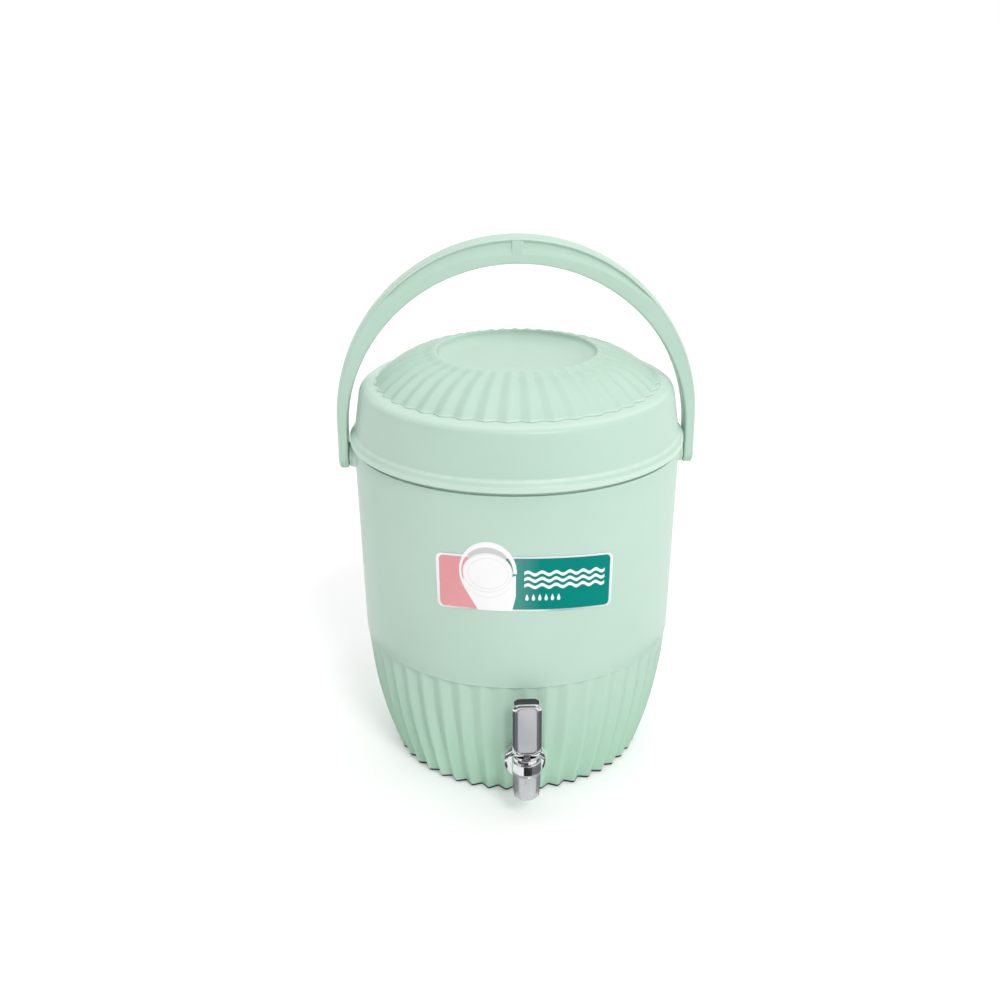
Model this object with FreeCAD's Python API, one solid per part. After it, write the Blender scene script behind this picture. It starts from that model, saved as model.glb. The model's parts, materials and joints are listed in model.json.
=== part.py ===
import FreeCAD, Part
import math
import os

# Insulated water jug with a drop-on lid, a swinging carry handle and a lever tap.
# Millimetres. The origin is the centre of the base on the ground, +Z is up, and the
# tap points along -Y. Each function below returns the solid of one named piece.

V = FreeCAD.Vector
TAP_SIDE = -math.pi / 2  # direction of the tap, as an angle about Z

# Outer shell
WALL = 2.4
FLUTES = 46
FLUTE_TOP_Z = 113.5
FLUTE_DEPTH_BASE = 5.0
FLUTE_DEPTH_TOP = 2.2
FLUTE_SECTIONS = 6
BELLY_ARC_R = 380.3  # side profile of the fluted part: an arc with its centre inside the jug
BELLY_CENTRE_R = -247.7
BELLY_CENTRE_Z = 132.0
PLAIN_R_BOTTOM = 132.9
SHOULDER_R = 136.8
SHOULDER_Z = 282.0
SHADOW_GROOVE_R = SHOULDER_R - 1.9  # step under the lid's lip
SHADOW_GROOVE_Z = SHOULDER_Z - 2.5
NECK_R = 133.0
NECK_TOP_Z = 289.0
FLOOR_Z = 5.0
FOOT_INNER_R = 97.0
PLUG_HOLE_R = 12.0
FOAM_GAP = 0.3

# Liner
LINER_WALL = 2.2
LINER_FLOOR_Z = 24.0
LINER_R_BOTTOM = 97.0
LINER_R_TOP = 114.0
LINER_CORNER_R = 12.0
FLANGE_Z = NECK_TOP_Z + 2.0

# Lid
LID_Z = 283.0
LIP_R = 140.0
SKIRT_INNER_R = 136.0
BAND_R_BOTTOM = 135.6
BAND_R_TOP = 131.0
BAND_TOP_Z = 323.0
BAND_INNER_LOW_Z = 293.0
BAND_INNER_HIGH_Z = 321.5
BAND_INNER_R = 132.8
BAND_INNER_TAPER = 0.145
BAND_SHOULDER = (128.3, 327.8, 124.0, 330.8)  # rounded shoulder: its middle and its upper end
RIM_TOP_Z = 331.6
RIM_INNER_R = 118.4
LEDGE_TOP_Z = 328.8
LEDGE_INNER_R = 112.0
LEDGE_OUTER_R = 124.5
LID_PLATE_Z = 293.2
LID_PLATE_R = 132.3
LID_PLATE_WALL = 2.4
PLUG_R = 113.2
PLUG_Z = 285.0
DOME_R = 118.0
DOME_Z = 331.5
DOME_RUN = 48.0  # radial width of the fluted slope
DOME_RISE = 23.4
DOME_CROWN = 24.5
DOME_FLUTES = 41
DOME_FLUTE_DEPTH = 3.5
DOME_FLUTE_END = 0.86  # fraction of the slope where the flutes fade out
DOME_FLUTE_TURN = math.radians(2.5)
DOME_TOP_Z = 357.0
DOME_CAP_DROP = 2.5  # the cap starts this far below the end of the flutes
ROLL_OUTER_R = 75.2
ROLL_INNER_R = 71.0
DISH_Z = 349.0
DISH_R = 56.0
DISH_WALL_R = 67.2
DOME_HOLLOW = (98.0, 341.5, 80.0, 350.0)  # underside of the slope: its middle and its upper end
DOME_HOLLOW_TOP = (70.0, 352.5)
SEAL_R = (116.5, 118.3, 119.7, 121.5)  # edges of the seal's two lips
SEAL_LIP = 1.2
SEAL_CHAMFER = 0.4

# Carry handle
PIVOT_Z = 267.5
HANDLE_HALF_WIDTH = 11.5
HANDLE_OUTER_R = 150.0
HANDLE_OUTER_Z = 300.0
HANDLE_INNER_R = 141.5
HANDLE_INNER_Z = 287.0
RECESS_R = 147.5
RECESS_END = math.radians(52.0)
RECESS_LOW_Z = 436.5
RECESS_DEPTH = 2.0
RIB_HALF_WIDTH = 3.9
PIN_R = 6.0
PIN_HEAD_R = 8.5
PIN_HEAD_X = 147.6
PIN_RUNNING_GAP = 0.08
HANDLE_BOSS_R = 10.5
HANDLE_BOSS_X = 141.2
PIN_END_X = 130.0
HANDLE_BOSS_ROOT_X = PIN_END_X - 2.0

# Label
LABEL_MID_Z = 206.5
LABEL_HALF_HEIGHT = 23.5
LABEL_HALF_WIDTH = 68.8
LABEL_LEFT_DROP = 2.6  # the sticker is cut as an arc, a little lower at its ends
LABEL_RIGHT_DROP = 5.9
LABEL_THICKNESS = 0.35
LABEL_CORNER_R = 5.0

# Tap
TAP_Z = 41.0
TAP_BOSS_R = 17.6
TAP_BOSS_Y = -124.0
TAP_HOLE_R = 8.3
LINER_PAD_R = 16.0
LINER_PAD_Y = -95.5
SHANK_R = 8.0
SHANK_END_Y = -85.0
WATER_BORE_R = 5.0
FLANGE_R = 17.1
FLANGE_BACK_Y = -125.5
FLANGE_FRONT_Y = -128.5
FLANGE_EDGE_Y = -126.4
BARREL_COLLAR_R = SHANK_R + 2.0
BARREL_COLLAR_Y = -132.0
SHANK_GAP = 0.1
OUTER_WASHER_R = 15.0
INNER_WASHER_R = 11.0
NUT_R = 12.5
NUT_Y = -93.7
NUT_THICKNESS = 6.0
NOZZLE_Y = -147.0
HOUSING_R = 10.2
HOUSING_Z = (29.6, 57.4)
CAVITY_R = 8.2
SEAT_Z = 33.0
SEAT_HOLE_R = 5.5
SPOUT_Z = 23.6
SPOUT_TOP_Z = 47.6
OUTLET_R = 8.0
BONNET_TOP_Z = 62.1
SPIGOT_Z = 53.6
STEM_R = 2.2
STEM_HOLE_R = 2.5
LEVER_PIN_Z = 67.8
LEVER_PIN_R = 1.5
LEVER_FOOT_Z = LEVER_PIN_Z - 5.0
LEVER_FOOT_R = 3.0  # rounding that lets the foot roll over the bonnet
LEVER_TOP_Z = 111.0
LEVER_CORNER_R = 5.0
LEVER_HALF_WIDTH = 11.8
LEVER_SLOT = 2.7
LEVER_FRONT_Y = NOZZLE_Y - 8.5
LEVER_BACK_Y = NOZZLE_Y + 2.6
LEVER_WINDOW_HALF_WIDTH = 8.0
LEVER_WINDOW_DEPTH = 2.0
LEVER_WINDOW_LOW_Z = LEVER_PIN_Z - 0.6
LEVER_WINDOW_HIGH_Z = LEVER_TOP_Z - 3.0
PAD_GAP = 0.15
CUP_TOP_Z = 36.6
SPRING_R = 5.0
SPRING_WIRE_R = 0.35
SPRING_TURNS = 6


def polar(r, angle, z):
    return V(r * math.cos(angle), r * math.sin(angle), z)


def outline(plane, start, *steps):
    """Closed face. A step of two numbers is a line; a step of four is an arc through a point."""
    first = plane(*start)
    here = first
    edges = []
    for step in steps:
        there = plane(step[-2], step[-1])
        if len(step) == 2:
            edges.append(Part.LineSegment(here, there).toShape())
        else:
            edges.append(Part.Arc(here, plane(step[0], step[1]), there).toShape())
        here = there
    if not here.isEqual(first, 1e-6):
        edges.append(Part.LineSegment(here, first).toShape())
    return Part.Face(Part.Wire(edges))


def front_plane(x, z):
    return V(x, 0, z)


def side_plane(y, z):
    return V(0, y, z)


def turned(start, *steps, y=0.0):
    """Solid of revolution about the vertical axis at (0, y), from an (r, z) outline."""
    solid = outline(front_plane, start, *steps).revolve(V(0, 0, 0), V(0, 0, 1), 360)
    solid.translate(V(0, y, 0))
    return solid


def rod_x(r, x0, x1, y=0.0, z=0.0):
    return Part.makeCylinder(r, x1 - x0, V(x0, y, z), V(1, 0, 0))


def rod_y(r, y0, y1, z=TAP_Z):
    return Part.makeCylinder(r, y1 - y0, V(0, y0, z), V(0, 1, 0))


def rod_z(r, z0, z1, y=0.0):
    return Part.makeCylinder(r, z1 - z0, V(0, y, z0), V(0, 0, 1))


def ring_y(r_in, r_out, y0, y1):
    return rod_y(r_out, y0, y1).cut(rod_y(r_in, y0, y1))


def on_side(side, shape):
    """The shape as drawn on the +X side, or its mirror image on the -X side."""
    return shape if side > 0 else shape.mirror(V(0, 0, 0), V(1, 0, 0))


def block(x, y, z):
    """Box from three (low, high) pairs."""
    return Part.makeBox(x[1] - x[0], y[1] - y[0], z[1] - z[0], V(x[0], y[0], z[0]))


def rounded_plate(half_width, z0, z1, corner, y0, y1):
    """Plate in a vertical plane with four rounded corners."""
    plate = block((-half_width, half_width), (y0, y1), (z0, z1))
    upright = [e for e in plate.Edges if abs(e.tangentAt(e.FirstParameter).y) > 0.9]
    return plate.makeFillet(corner, upright)


def fluted_wire(z, crest_r, depth, count, crest_angle):
    """Closed wave of arcs: one over each crest and one along each valley."""
    quarter = math.pi / count / 2
    middle_r = crest_r - depth / 2
    edges = []
    for i in range(count):
        crest = crest_angle + 4 * quarter * i
        rise = polar(middle_r, crest - quarter, z)
        fall = polar(middle_r, crest + quarter, z)
        valley = polar(crest_r - depth, crest + 2 * quarter, z)
        next_rise = polar(middle_r, crest + 3 * quarter, z)
        edges.append(Part.Arc(rise, polar(crest_r, crest, z), fall).toShape())
        edges.append(Part.Arc(fall, valley, next_rise).toShape())
    return Part.Wire(edges)


def belly_r(z):
    """Radius over the flute crests."""
    return BELLY_CENTRE_R + math.sqrt(BELLY_ARC_R ** 2 - (z - BELLY_CENTRE_Z) ** 2)


def flute_depth(z):
    return FLUTE_DEPTH_BASE + (FLUTE_DEPTH_TOP - FLUTE_DEPTH_BASE) * z / FLUTE_TOP_Z


def plain_r(z):
    """Radius of the plain wall above the flutes."""
    slope = (SHOULDER_R - PLAIN_R_BOTTOM) / (SHOULDER_Z - FLUTE_TOP_Z)
    return PLAIN_R_BOTTOM + slope * (z - FLUTE_TOP_Z)


def fluted_body(z0, inset):
    """Solid fluted belly from z0 up to the top of the flutes, drawn in by inset."""
    sections = []
    for i in range(FLUTE_SECTIONS):
        z = z0 + (FLUTE_TOP_Z - z0) * i / (FLUTE_SECTIONS - 1)
        sections.append(fluted_wire(z, belly_r(z) - inset, flute_depth(z), FLUTES, TAP_SIDE))
    return Part.makeLoft(sections, True)


def plain_cavity(gap):
    """Space inside the plain wall and the neck, drawn in by gap."""
    hip_r = belly_r(FLUTE_TOP_Z) - FLUTE_DEPTH_TOP - WALL - 0.6
    neck_r = NECK_R - WALL - gap
    return turned(
        (0, FLUTE_TOP_Z), (hip_r - gap, FLUTE_TOP_Z),
        (plain_r(FLUTE_TOP_Z + 8) - WALL - gap, FLUTE_TOP_Z + 8),
        (plain_r(SHOULDER_Z) - WALL - gap - 0.8, SHOULDER_Z - 20),
        (neck_r, SHOULDER_Z - 6), (neck_r, NECK_TOP_Z), (0, NECK_TOP_Z),
    )


def outer_shell():
    plain = turned(
        (0, FLUTE_TOP_Z), (PLAIN_R_BOTTOM, FLUTE_TOP_Z), (plain_r(SHADOW_GROOVE_Z), SHADOW_GROOVE_Z),
        (SHADOW_GROOVE_R, SHADOW_GROOVE_Z), (SHADOW_GROOVE_R, SHOULDER_Z),
        (NECK_R, SHOULDER_Z), (NECK_R, NECK_TOP_Z), (0, NECK_TOP_Z),
    )
    shell = fluted_body(0, 0).fuse(plain)
    shell = shell.cut(fluted_body(FLOOR_Z + WALL, WALL)).cut(plain_cavity(0))
    shell = shell.cut(rod_z(FOOT_INNER_R, 0, FLOOR_Z))
    shell = shell.cut(rod_z(PLUG_HOLE_R, FLOOR_Z, FLOOR_Z + WALL))
    shell = shell.cut(rod_y(TAP_BOSS_R, TAP_BOSS_Y - 10, TAP_BOSS_Y))
    shell = shell.fuse(rod_y(TAP_BOSS_R, TAP_BOSS_Y, TAP_BOSS_Y + 12))
    shell = shell.cut(rod_y(TAP_HOLE_R, TAP_BOSS_Y, TAP_BOSS_Y + 12))
    for side in (-1, 1):
        pin_hole = on_side(side, rod_x(PIN_R, PIN_END_X, HANDLE_BOSS_X, z=PIVOT_Z))
        boss = on_side(side, rod_x(HANDLE_BOSS_R, HANDLE_BOSS_ROOT_X, HANDLE_BOSS_X, z=PIVOT_Z))
        shell = shell.cut(pin_hole).fuse(boss.cut(pin_hole))
    return shell


def foam_plug():
    return turned(
        (0, FLOOR_Z - 2.0), (PLUG_HOLE_R + 4.5, FLOOR_Z - 2.0), (PLUG_HOLE_R + 5.0, FLOOR_Z - 1.5),
        (PLUG_HOLE_R + 5.0, FLOOR_Z), (PLUG_HOLE_R - 0.1, FLOOR_Z), (PLUG_HOLE_R - 0.1, FLOOR_Z + 3.2),
        (PLUG_HOLE_R - 1.0, FLOOR_Z + 4.0), (0, FLOOR_Z + 4.0),
    )


def liner_r(z):
    """Inside radius of the liner."""
    floor = LINER_FLOOR_Z + LINER_WALL
    return LINER_R_BOTTOM + (LINER_R_TOP - LINER_R_BOTTOM) * (z - floor) / (FLANGE_Z - floor)


def liner_side(gap, z):
    """Corner and side of the liner's outer face, pushed out by gap, as outline steps from the floor."""
    corner_top = LINER_FLOOR_Z + LINER_CORNER_R
    side_r = liner_r(corner_top) + LINER_WALL + gap
    centre_r = side_r - gap - LINER_CORNER_R
    reach = (LINER_CORNER_R + gap) * math.sqrt(0.5)
    floor_end = (centre_r, LINER_FLOOR_Z - gap)
    corner = (centre_r + reach, corner_top - reach, side_r, corner_top)
    return [floor_end, corner, (liner_r(z) + LINER_WALL + gap, z)]


def body_insulation():
    low = FLOOR_Z + WALL + FOAM_GAP
    top = NECK_TOP_Z - FOAM_GAP

    def side_r(z):
        return belly_r(z) - flute_depth(z) - WALL - FOAM_GAP

    belly_mid = FLUTE_TOP_Z / 2
    belly = turned(
        (0, low), (side_r(low), low),
        (side_r(belly_mid) - 0.2, belly_mid, side_r(FLUTE_TOP_Z) - 0.6, FLUTE_TOP_Z), (0, FLUTE_TOP_Z),
    )
    foam = belly.fuse(plain_cavity(FOAM_GAP))
    floor_end, corner, wall_top = liner_side(FOAM_GAP, NECK_TOP_Z)
    foam = foam.cut(turned((0, LINER_FLOOR_Z - FOAM_GAP), floor_end, corner, wall_top, (0, NECK_TOP_Z)))
    foam = foam.cut(rod_z(NECK_R, top, NECK_TOP_Z))
    foam = foam.cut(rod_z(PLUG_HOLE_R + 0.5, FLOOR_Z, FLOOR_Z + 4.5))
    foam = foam.cut(rod_y(SHANK_R + 0.6, TAP_BOSS_Y, LINER_PAD_Y))
    foam = foam.cut(rod_y(TAP_BOSS_R + 0.5, TAP_BOSS_Y, TAP_BOSS_Y + 12.4))
    foam = foam.cut(rod_y(LINER_PAD_R + 0.5, LINER_PAD_Y - 6.5, LINER_PAD_Y))
    for side in (-1, 1):
        boss_room = rod_x(HANDLE_BOSS_R + 0.5, HANDLE_BOSS_ROOT_X - 0.4, HANDLE_BOSS_X, z=PIVOT_Z)
        foam = foam.cut(on_side(side, boss_room))
    return foam


def inner_liner():
    floor_end, corner, wall_top = liner_side(0, NECK_TOP_Z)
    inner_corner = LINER_CORNER_R - LINER_WALL
    corner_top = LINER_FLOOR_Z + LINER_CORNER_R
    side_r = liner_r(corner_top)
    reach = inner_corner * math.sqrt(0.5)
    centre_r = side_r - inner_corner
    liner = turned(
        (0, LINER_FLOOR_Z), floor_end, corner, wall_top,
        (NECK_R, NECK_TOP_Z), (NECK_R, FLANGE_Z), (liner_r(FLANGE_Z), FLANGE_Z),
        (side_r, corner_top), (centre_r + reach, corner_top - reach, centre_r, LINER_FLOOR_Z + LINER_WALL),
        (0, LINER_FLOOR_Z + LINER_WALL),
    )
    liner = liner.fuse(rod_y(LINER_PAD_R, LINER_PAD_Y - 6, LINER_PAD_Y))
    return liner.cut(rod_y(TAP_HOLE_R, LINER_PAD_Y - 10, LINER_PAD_Y))


def band_inner_r(z):
    """Inside radius of the lid band's wall."""
    return BAND_INNER_R - (z - BAND_INNER_LOW_Z) * BAND_INNER_TAPER


def lid_band():
    """Side wall of the lid, with a lip below, a rounded shoulder and a rim that holds the dome."""
    return turned(
        (SKIRT_INNER_R, LID_Z), (LIP_R - 0.8, LID_Z), (LIP_R - 0.2, LID_Z + 0.2, LIP_R, LID_Z + 0.8),
        (LIP_R, LID_Z + 3.6), (LIP_R - 0.3, LID_Z + 4.6, LIP_R - 1.2, LID_Z + 5.4),
        (BAND_R_BOTTOM + 0.5, LID_Z + 9.6),
        (BAND_R_BOTTOM + 0.1, LID_Z + 10.1, BAND_R_BOTTOM, LID_Z + 11.0),
        (BAND_R_TOP, BAND_TOP_Z), BAND_SHOULDER, (RIM_INNER_R + 0.8, RIM_TOP_Z),
        (RIM_INNER_R + 0.2, RIM_TOP_Z - 0.2, RIM_INNER_R, RIM_TOP_Z - 0.8),
        (RIM_INNER_R, LEDGE_TOP_Z), (LEDGE_INNER_R, LEDGE_TOP_Z), (LEDGE_INNER_R, LEDGE_TOP_Z - WALL),
        (LEDGE_OUTER_R, LEDGE_TOP_Z - WALL), (band_inner_r(BAND_INNER_HIGH_Z), BAND_INNER_HIGH_Z),
        (band_inner_r(BAND_INNER_LOW_Z), BAND_INNER_LOW_Z),
        (SKIRT_INNER_R, LID_Z + 7.2),
    )


def dome_point(s, drop=0.0):
    """Point (r, z) on the dome's fluted slope, s = 0 at its foot and 1 at its top."""
    return DOME_R - DOME_RUN * s, DOME_Z + DOME_RISE * s + DOME_CROWN * s * (1 - s) - drop


def lid_dome():
    sections = []
    for i in range(FLUTE_SECTIONS):
        s = DOME_FLUTE_END * i / (FLUTE_SECTIONS - 1)
        crest_r, z = dome_point(s)
        depth = DOME_FLUTE_DEPTH * (1 - 0.92 * (s / DOME_FLUTE_END) ** 3)
        sections.append(fluted_wire(z, crest_r, depth, DOME_FLUTES, TAP_SIDE + DOME_FLUTE_TURN))
    slope = Part.makeLoft(sections, True)
    cap_r, cap_z = dome_point(DOME_FLUTE_END)
    cap = turned(
        (0, cap_z - DOME_CAP_DROP), (cap_r - 9.0, cap_z - DOME_CAP_DROP), (cap_r - 0.4, cap_z),
        (ROLL_OUTER_R, DOME_TOP_Z - 1.0, ROLL_INNER_R, DOME_TOP_Z), (0, DOME_TOP_Z),
    )
    foot = rod_z(DOME_R, LEDGE_TOP_Z, DOME_Z)
    hollow = turned(
        (0, LEDGE_TOP_Z), (LEDGE_INNER_R - 1, LEDGE_TOP_Z), DOME_HOLLOW, DOME_HOLLOW_TOP,
        (DISH_WALL_R - 1.2, DOME_HOLLOW_TOP[1] - 1), (DISH_R + 2, DISH_Z - WALL), (0, DISH_Z - WALL),
    )
    dish = turned(
        (0, DISH_Z), (DISH_R, DISH_Z), (DISH_R + 6, DISH_Z + 1.2, DISH_WALL_R - 0.6, DISH_Z + 4.2),
        (DISH_WALL_R, DISH_Z + 5.8), (DISH_WALL_R + 1.3, DOME_TOP_Z - 0.6, ROLL_INNER_R, DOME_TOP_Z),
        (ROLL_INNER_R, DOME_TOP_Z + 1.0), (0, DOME_TOP_Z + 1.0),
    )
    return slope.fuse(foot).fuse(cap).cut(dish).cut(hollow)


def lid_liner():
    top = LID_PLATE_Z + LID_PLATE_WALL
    cup_r = PLUG_R - LID_PLATE_WALL
    return turned(
        (0, PLUG_Z), (PLUG_R - 1.5, PLUG_Z), (PLUG_R - 0.4, PLUG_Z + 0.4, PLUG_R, PLUG_Z + 1.5),
        (PLUG_R, LID_PLATE_Z), (LID_PLATE_R, LID_PLATE_Z), (LID_PLATE_R, top), (cup_r, top),
        (cup_r, PLUG_Z + LID_PLATE_WALL), (0, PLUG_Z + LID_PLATE_WALL),
    )


def lid_insulation():
    top = LEDGE_TOP_Z - WALL - FOAM_GAP
    plate_top = LID_PLATE_Z + LID_PLATE_WALL + FOAM_GAP
    cup_r = PLUG_R - LID_PLATE_WALL - FOAM_GAP
    shoulder = (band_inner_r(BAND_INNER_HIGH_Z) - FOAM_GAP, BAND_INNER_HIGH_Z)
    return turned(
        (0, PLUG_Z + LID_PLATE_WALL + FOAM_GAP), (cup_r, PLUG_Z + LID_PLATE_WALL + FOAM_GAP),
        (cup_r, plate_top), (band_inner_r(plate_top) - FOAM_GAP, plate_top), shoulder,
        (LEDGE_OUTER_R - 0.5, top), (0, top),
    )


def lid_seal():
    """Soft ring with two lips, squeezed between the lid and the liner's flange."""
    low = FLANGE_Z + 0.1
    inner, groove_in, groove_out, outer = SEAL_R
    return turned(
        (inner, LID_PLATE_Z), (inner, low + SEAL_CHAMFER), (inner + SEAL_CHAMFER, low), (groove_in, low),
        (groove_in, low + SEAL_LIP), (groove_out, low + SEAL_LIP), (groove_out, low),
        (outer - SEAL_CHAMFER, low), (outer, low + SEAL_CHAMFER), (outer, LID_PLATE_Z),
    )


def carry_handle():
    end_x = RECESS_R * math.sin(RECESS_END)
    end_z = HANDLE_OUTER_Z + RECESS_R * math.cos(RECESS_END)
    arch = outline(
        front_plane, (-HANDLE_OUTER_R, PIVOT_Z), (-HANDLE_OUTER_R, HANDLE_OUTER_Z),
        (0, HANDLE_OUTER_Z + HANDLE_OUTER_R, HANDLE_OUTER_R, HANDLE_OUTER_Z), (HANDLE_OUTER_R, PIVOT_Z),
        (HANDLE_INNER_R, PIVOT_Z), (HANDLE_INNER_R, HANDLE_INNER_Z),
        (0, HANDLE_INNER_Z + HANDLE_INNER_R, -HANDLE_INNER_R, HANDLE_INNER_Z), (-HANDLE_INNER_R, PIVOT_Z),
    )
    crescent = outline(
        front_plane, (-end_x, end_z), (0, HANDLE_OUTER_Z + RECESS_R, end_x, end_z),
        (0, RECESS_LOW_Z, -end_x, end_z),
    )
    handle = arch.extrude(V(0, 2 * HANDLE_HALF_WIDTH, 0))
    handle.translate(V(0, -HANDLE_HALF_WIDTH, 0))
    rib = block(
        (-RIB_HALF_WIDTH, RIB_HALF_WIDTH), (-HANDLE_HALF_WIDTH, HANDLE_HALF_WIDTH),
        (RECESS_LOW_Z - 20, HANDLE_OUTER_Z + HANDLE_OUTER_R),
    )
    for low_y in (-HANDLE_HALF_WIDTH, HANDLE_HALF_WIDTH - RECESS_DEPTH):
        recess = crescent.extrude(V(0, RECESS_DEPTH, 0))
        recess.translate(V(0, low_y, 0))
        handle = handle.cut(recess.cut(rib))
    for side in (-1, 1):
        leg_end = rod_x(HANDLE_HALF_WIDTH, HANDLE_INNER_R, HANDLE_OUTER_R, z=PIVOT_Z)
        pin_hole = rod_x(PIN_R + PIN_RUNNING_GAP, HANDLE_INNER_R, HANDLE_OUTER_R, z=PIVOT_Z)
        head_room = rod_x(PIN_HEAD_R + 0.3, PIN_HEAD_X - 0.1, HANDLE_OUTER_R, z=PIVOT_Z)
        handle = handle.fuse(on_side(side, leg_end))
        handle = handle.cut(on_side(side, pin_hole)).cut(on_side(side, head_room))
    return handle


def handle_pin(side):
    pin = rod_x(PIN_R, PIN_END_X, PIN_HEAD_X, z=PIVOT_Z)
    return on_side(side, pin.fuse(rod_x(PIN_HEAD_R, PIN_HEAD_X, HANDLE_OUTER_R, z=PIVOT_Z)))


def label_plate():
    """Sticker wrapped round the front of the wall, cut as a shallow arc with rounded corners."""
    inner_gap = 0.05
    low = LABEL_MID_Z - LABEL_HALF_HEIGHT - 10
    high = LABEL_MID_Z + LABEL_HALF_HEIGHT + 10
    ring = turned(
        (plain_r(low) + inner_gap, low), (plain_r(low) + inner_gap + LABEL_THICKNESS, low),
        (plain_r(high) + inner_gap + LABEL_THICKNESS, high), (plain_r(high) + inner_gap, high),
    )
    top = LABEL_MID_Z + LABEL_HALF_HEIGHT
    bottom = LABEL_MID_Z - LABEL_HALF_HEIGHT
    left = -LABEL_HALF_WIDTH
    right = LABEL_HALF_WIDTH
    shape = outline(
        front_plane, (left, bottom - LABEL_LEFT_DROP), (0, bottom, right, bottom - LABEL_RIGHT_DROP),
        (right, top - LABEL_RIGHT_DROP), (0, top, left, top - LABEL_LEFT_DROP),
    )
    cutter = shape.extrude(V(0, -SHOULDER_R - 5, 0))
    corners = [e for e in cutter.Edges if abs(e.tangentAt(e.FirstParameter).y) > 0.9]
    return ring.common(cutter.makeFillet(LABEL_CORNER_R, corners))


def tap_body():
    body = rod_z(HOUSING_R, *HOUSING_Z, y=NOZZLE_Y)
    body = body.fuse(rod_y(SHANK_R, NOZZLE_Y, SHANK_END_Y))
    body = body.fuse(rod_y(BARREL_COLLAR_R, BARREL_COLLAR_Y, FLANGE_FRONT_Y))
    body = body.cut(rod_z(CAVITY_R, SEAT_Z, HOUSING_Z[1], y=NOZZLE_Y))
    body = body.cut(rod_z(SEAT_HOLE_R, HOUSING_Z[0], SEAT_Z, y=NOZZLE_Y))
    return body.cut(rod_y(WATER_BORE_R, NOZZLE_Y, SHANK_END_Y))


def tap_flange():
    """Dished cover disc around the shank."""
    hole_z = TAP_Z + SHANK_R + SHANK_GAP
    edge_z = TAP_Z + FLANGE_R
    face = outline(
        side_plane, (FLANGE_BACK_Y, hole_z), (FLANGE_FRONT_Y, hole_z), (FLANGE_FRONT_Y, edge_z - 3.5),
        (FLANGE_FRONT_Y + 0.6, edge_z - 1.0, FLANGE_EDGE_Y, edge_z), (FLANGE_BACK_Y, edge_z),
    )
    return face.revolve(V(0, 0, TAP_Z), V(0, 1, 0), 360)


def tap_lock_nut():
    corners = []
    for k in range(7):
        angle = math.pi * k / 3
        corners.append(V(NUT_R * math.cos(angle), NUT_Y, TAP_Z + NUT_R * math.sin(angle)))
    nut = Part.Face(Part.makePolygon(corners)).extrude(V(0, NUT_THICKNESS, 0))
    return nut.cut(rod_y(SHANK_R + SHANK_GAP, NUT_Y, NUT_Y + NUT_THICKNESS))


def spout_sleeve():
    sleeve = turned(
        (OUTLET_R, SPOUT_Z), (10.5, SPOUT_Z), (10.9, SPOUT_Z + 0.4), (11.6, SPOUT_TOP_Z),
        (HOUSING_R + 0.1, SPOUT_TOP_Z), (HOUSING_R + 0.1, HOUSING_Z[0]), (OUTLET_R, HOUSING_Z[0]),
        y=NOZZLE_Y,
    )
    slot_r = SHANK_R + 0.4
    sleeve = sleeve.cut(rod_y(slot_r, NOZZLE_Y, NOZZLE_Y + 15))
    return sleeve.cut(block((-slot_r, slot_r), (NOZZLE_Y, NOZZLE_Y + 15), (TAP_Z, SPOUT_TOP_Z)))


def tap_collar():
    low = SPOUT_TOP_Z
    high = HOUSING_Z[1]
    collar = turned(
        (HOUSING_R + 0.1, low), (11.4, low), (11.9, low + 0.5), (11.9, high - 1.8),
        (11.7, high - 0.5, 11.0, high), (HOUSING_R + 0.1, high), y=NOZZLE_Y,
    )
    return collar.cut(rod_y(SHANK_R + 0.4, NOZZLE_Y, NOZZLE_Y + 15))


def tap_bonnet():
    spigot_r = CAVITY_R - 0.1
    high = HOUSING_Z[1]
    return turned(
        (STEM_HOLE_R, SPIGOT_Z), (spigot_r, SPIGOT_Z), (spigot_r, high), (11.0, high),
        (11.0, BONNET_TOP_Z - 2.2), (10.4, BONNET_TOP_Z - 0.6, 8.8, BONNET_TOP_Z),
        (STEM_HOLE_R, BONNET_TOP_Z), y=NOZZLE_Y,
    )


def valve_stem():
    stem = rod_z(STEM_R, SEAT_Z + 2, LEVER_PIN_Z, y=NOZZLE_Y)
    stem = stem.fuse(rod_x(STEM_R + 0.8, -STEM_R, STEM_R, y=NOZZLE_Y, z=LEVER_PIN_Z))
    return stem.cut(rod_x(LEVER_PIN_R, -STEM_R, STEM_R, y=NOZZLE_Y, z=LEVER_PIN_Z))


def valve_cup():
    """Soft cup that closes the seat; the stem's foot is pressed into it."""
    return turned(
        (0, SEAT_Z), (7.2, SEAT_Z), (7.5, SEAT_Z + 0.5), (6.8, CUP_TOP_Z - 0.6), (6.2, CUP_TOP_Z),
        (STEM_R, CUP_TOP_Z), (STEM_R, SEAT_Z + 2), (0, SEAT_Z + 2), y=NOZZLE_Y,
    )


def lever_pin():
    return rod_x(LEVER_PIN_R, -LEVER_HALF_WIDTH + 0.3, LEVER_HALF_WIDTH - 0.3, y=NOZZLE_Y, z=LEVER_PIN_Z)


def valve_spring():
    low = CUP_TOP_Z + 0.1 + SPRING_WIRE_R
    height = SPIGOT_Z - 0.1 - SPRING_WIRE_R - low
    coil = Part.makeHelix(height / SPRING_TURNS, height, SPRING_R)
    wire_face = Part.Wire(Part.makeCircle(SPRING_WIRE_R, V(SPRING_R, 0, 0), V(0, 1, 0)))
    spring = Part.Wire(coil).makePipeShell([wire_face], True, True)
    spring.translate(V(0, NOZZLE_Y, low))
    return spring


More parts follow.
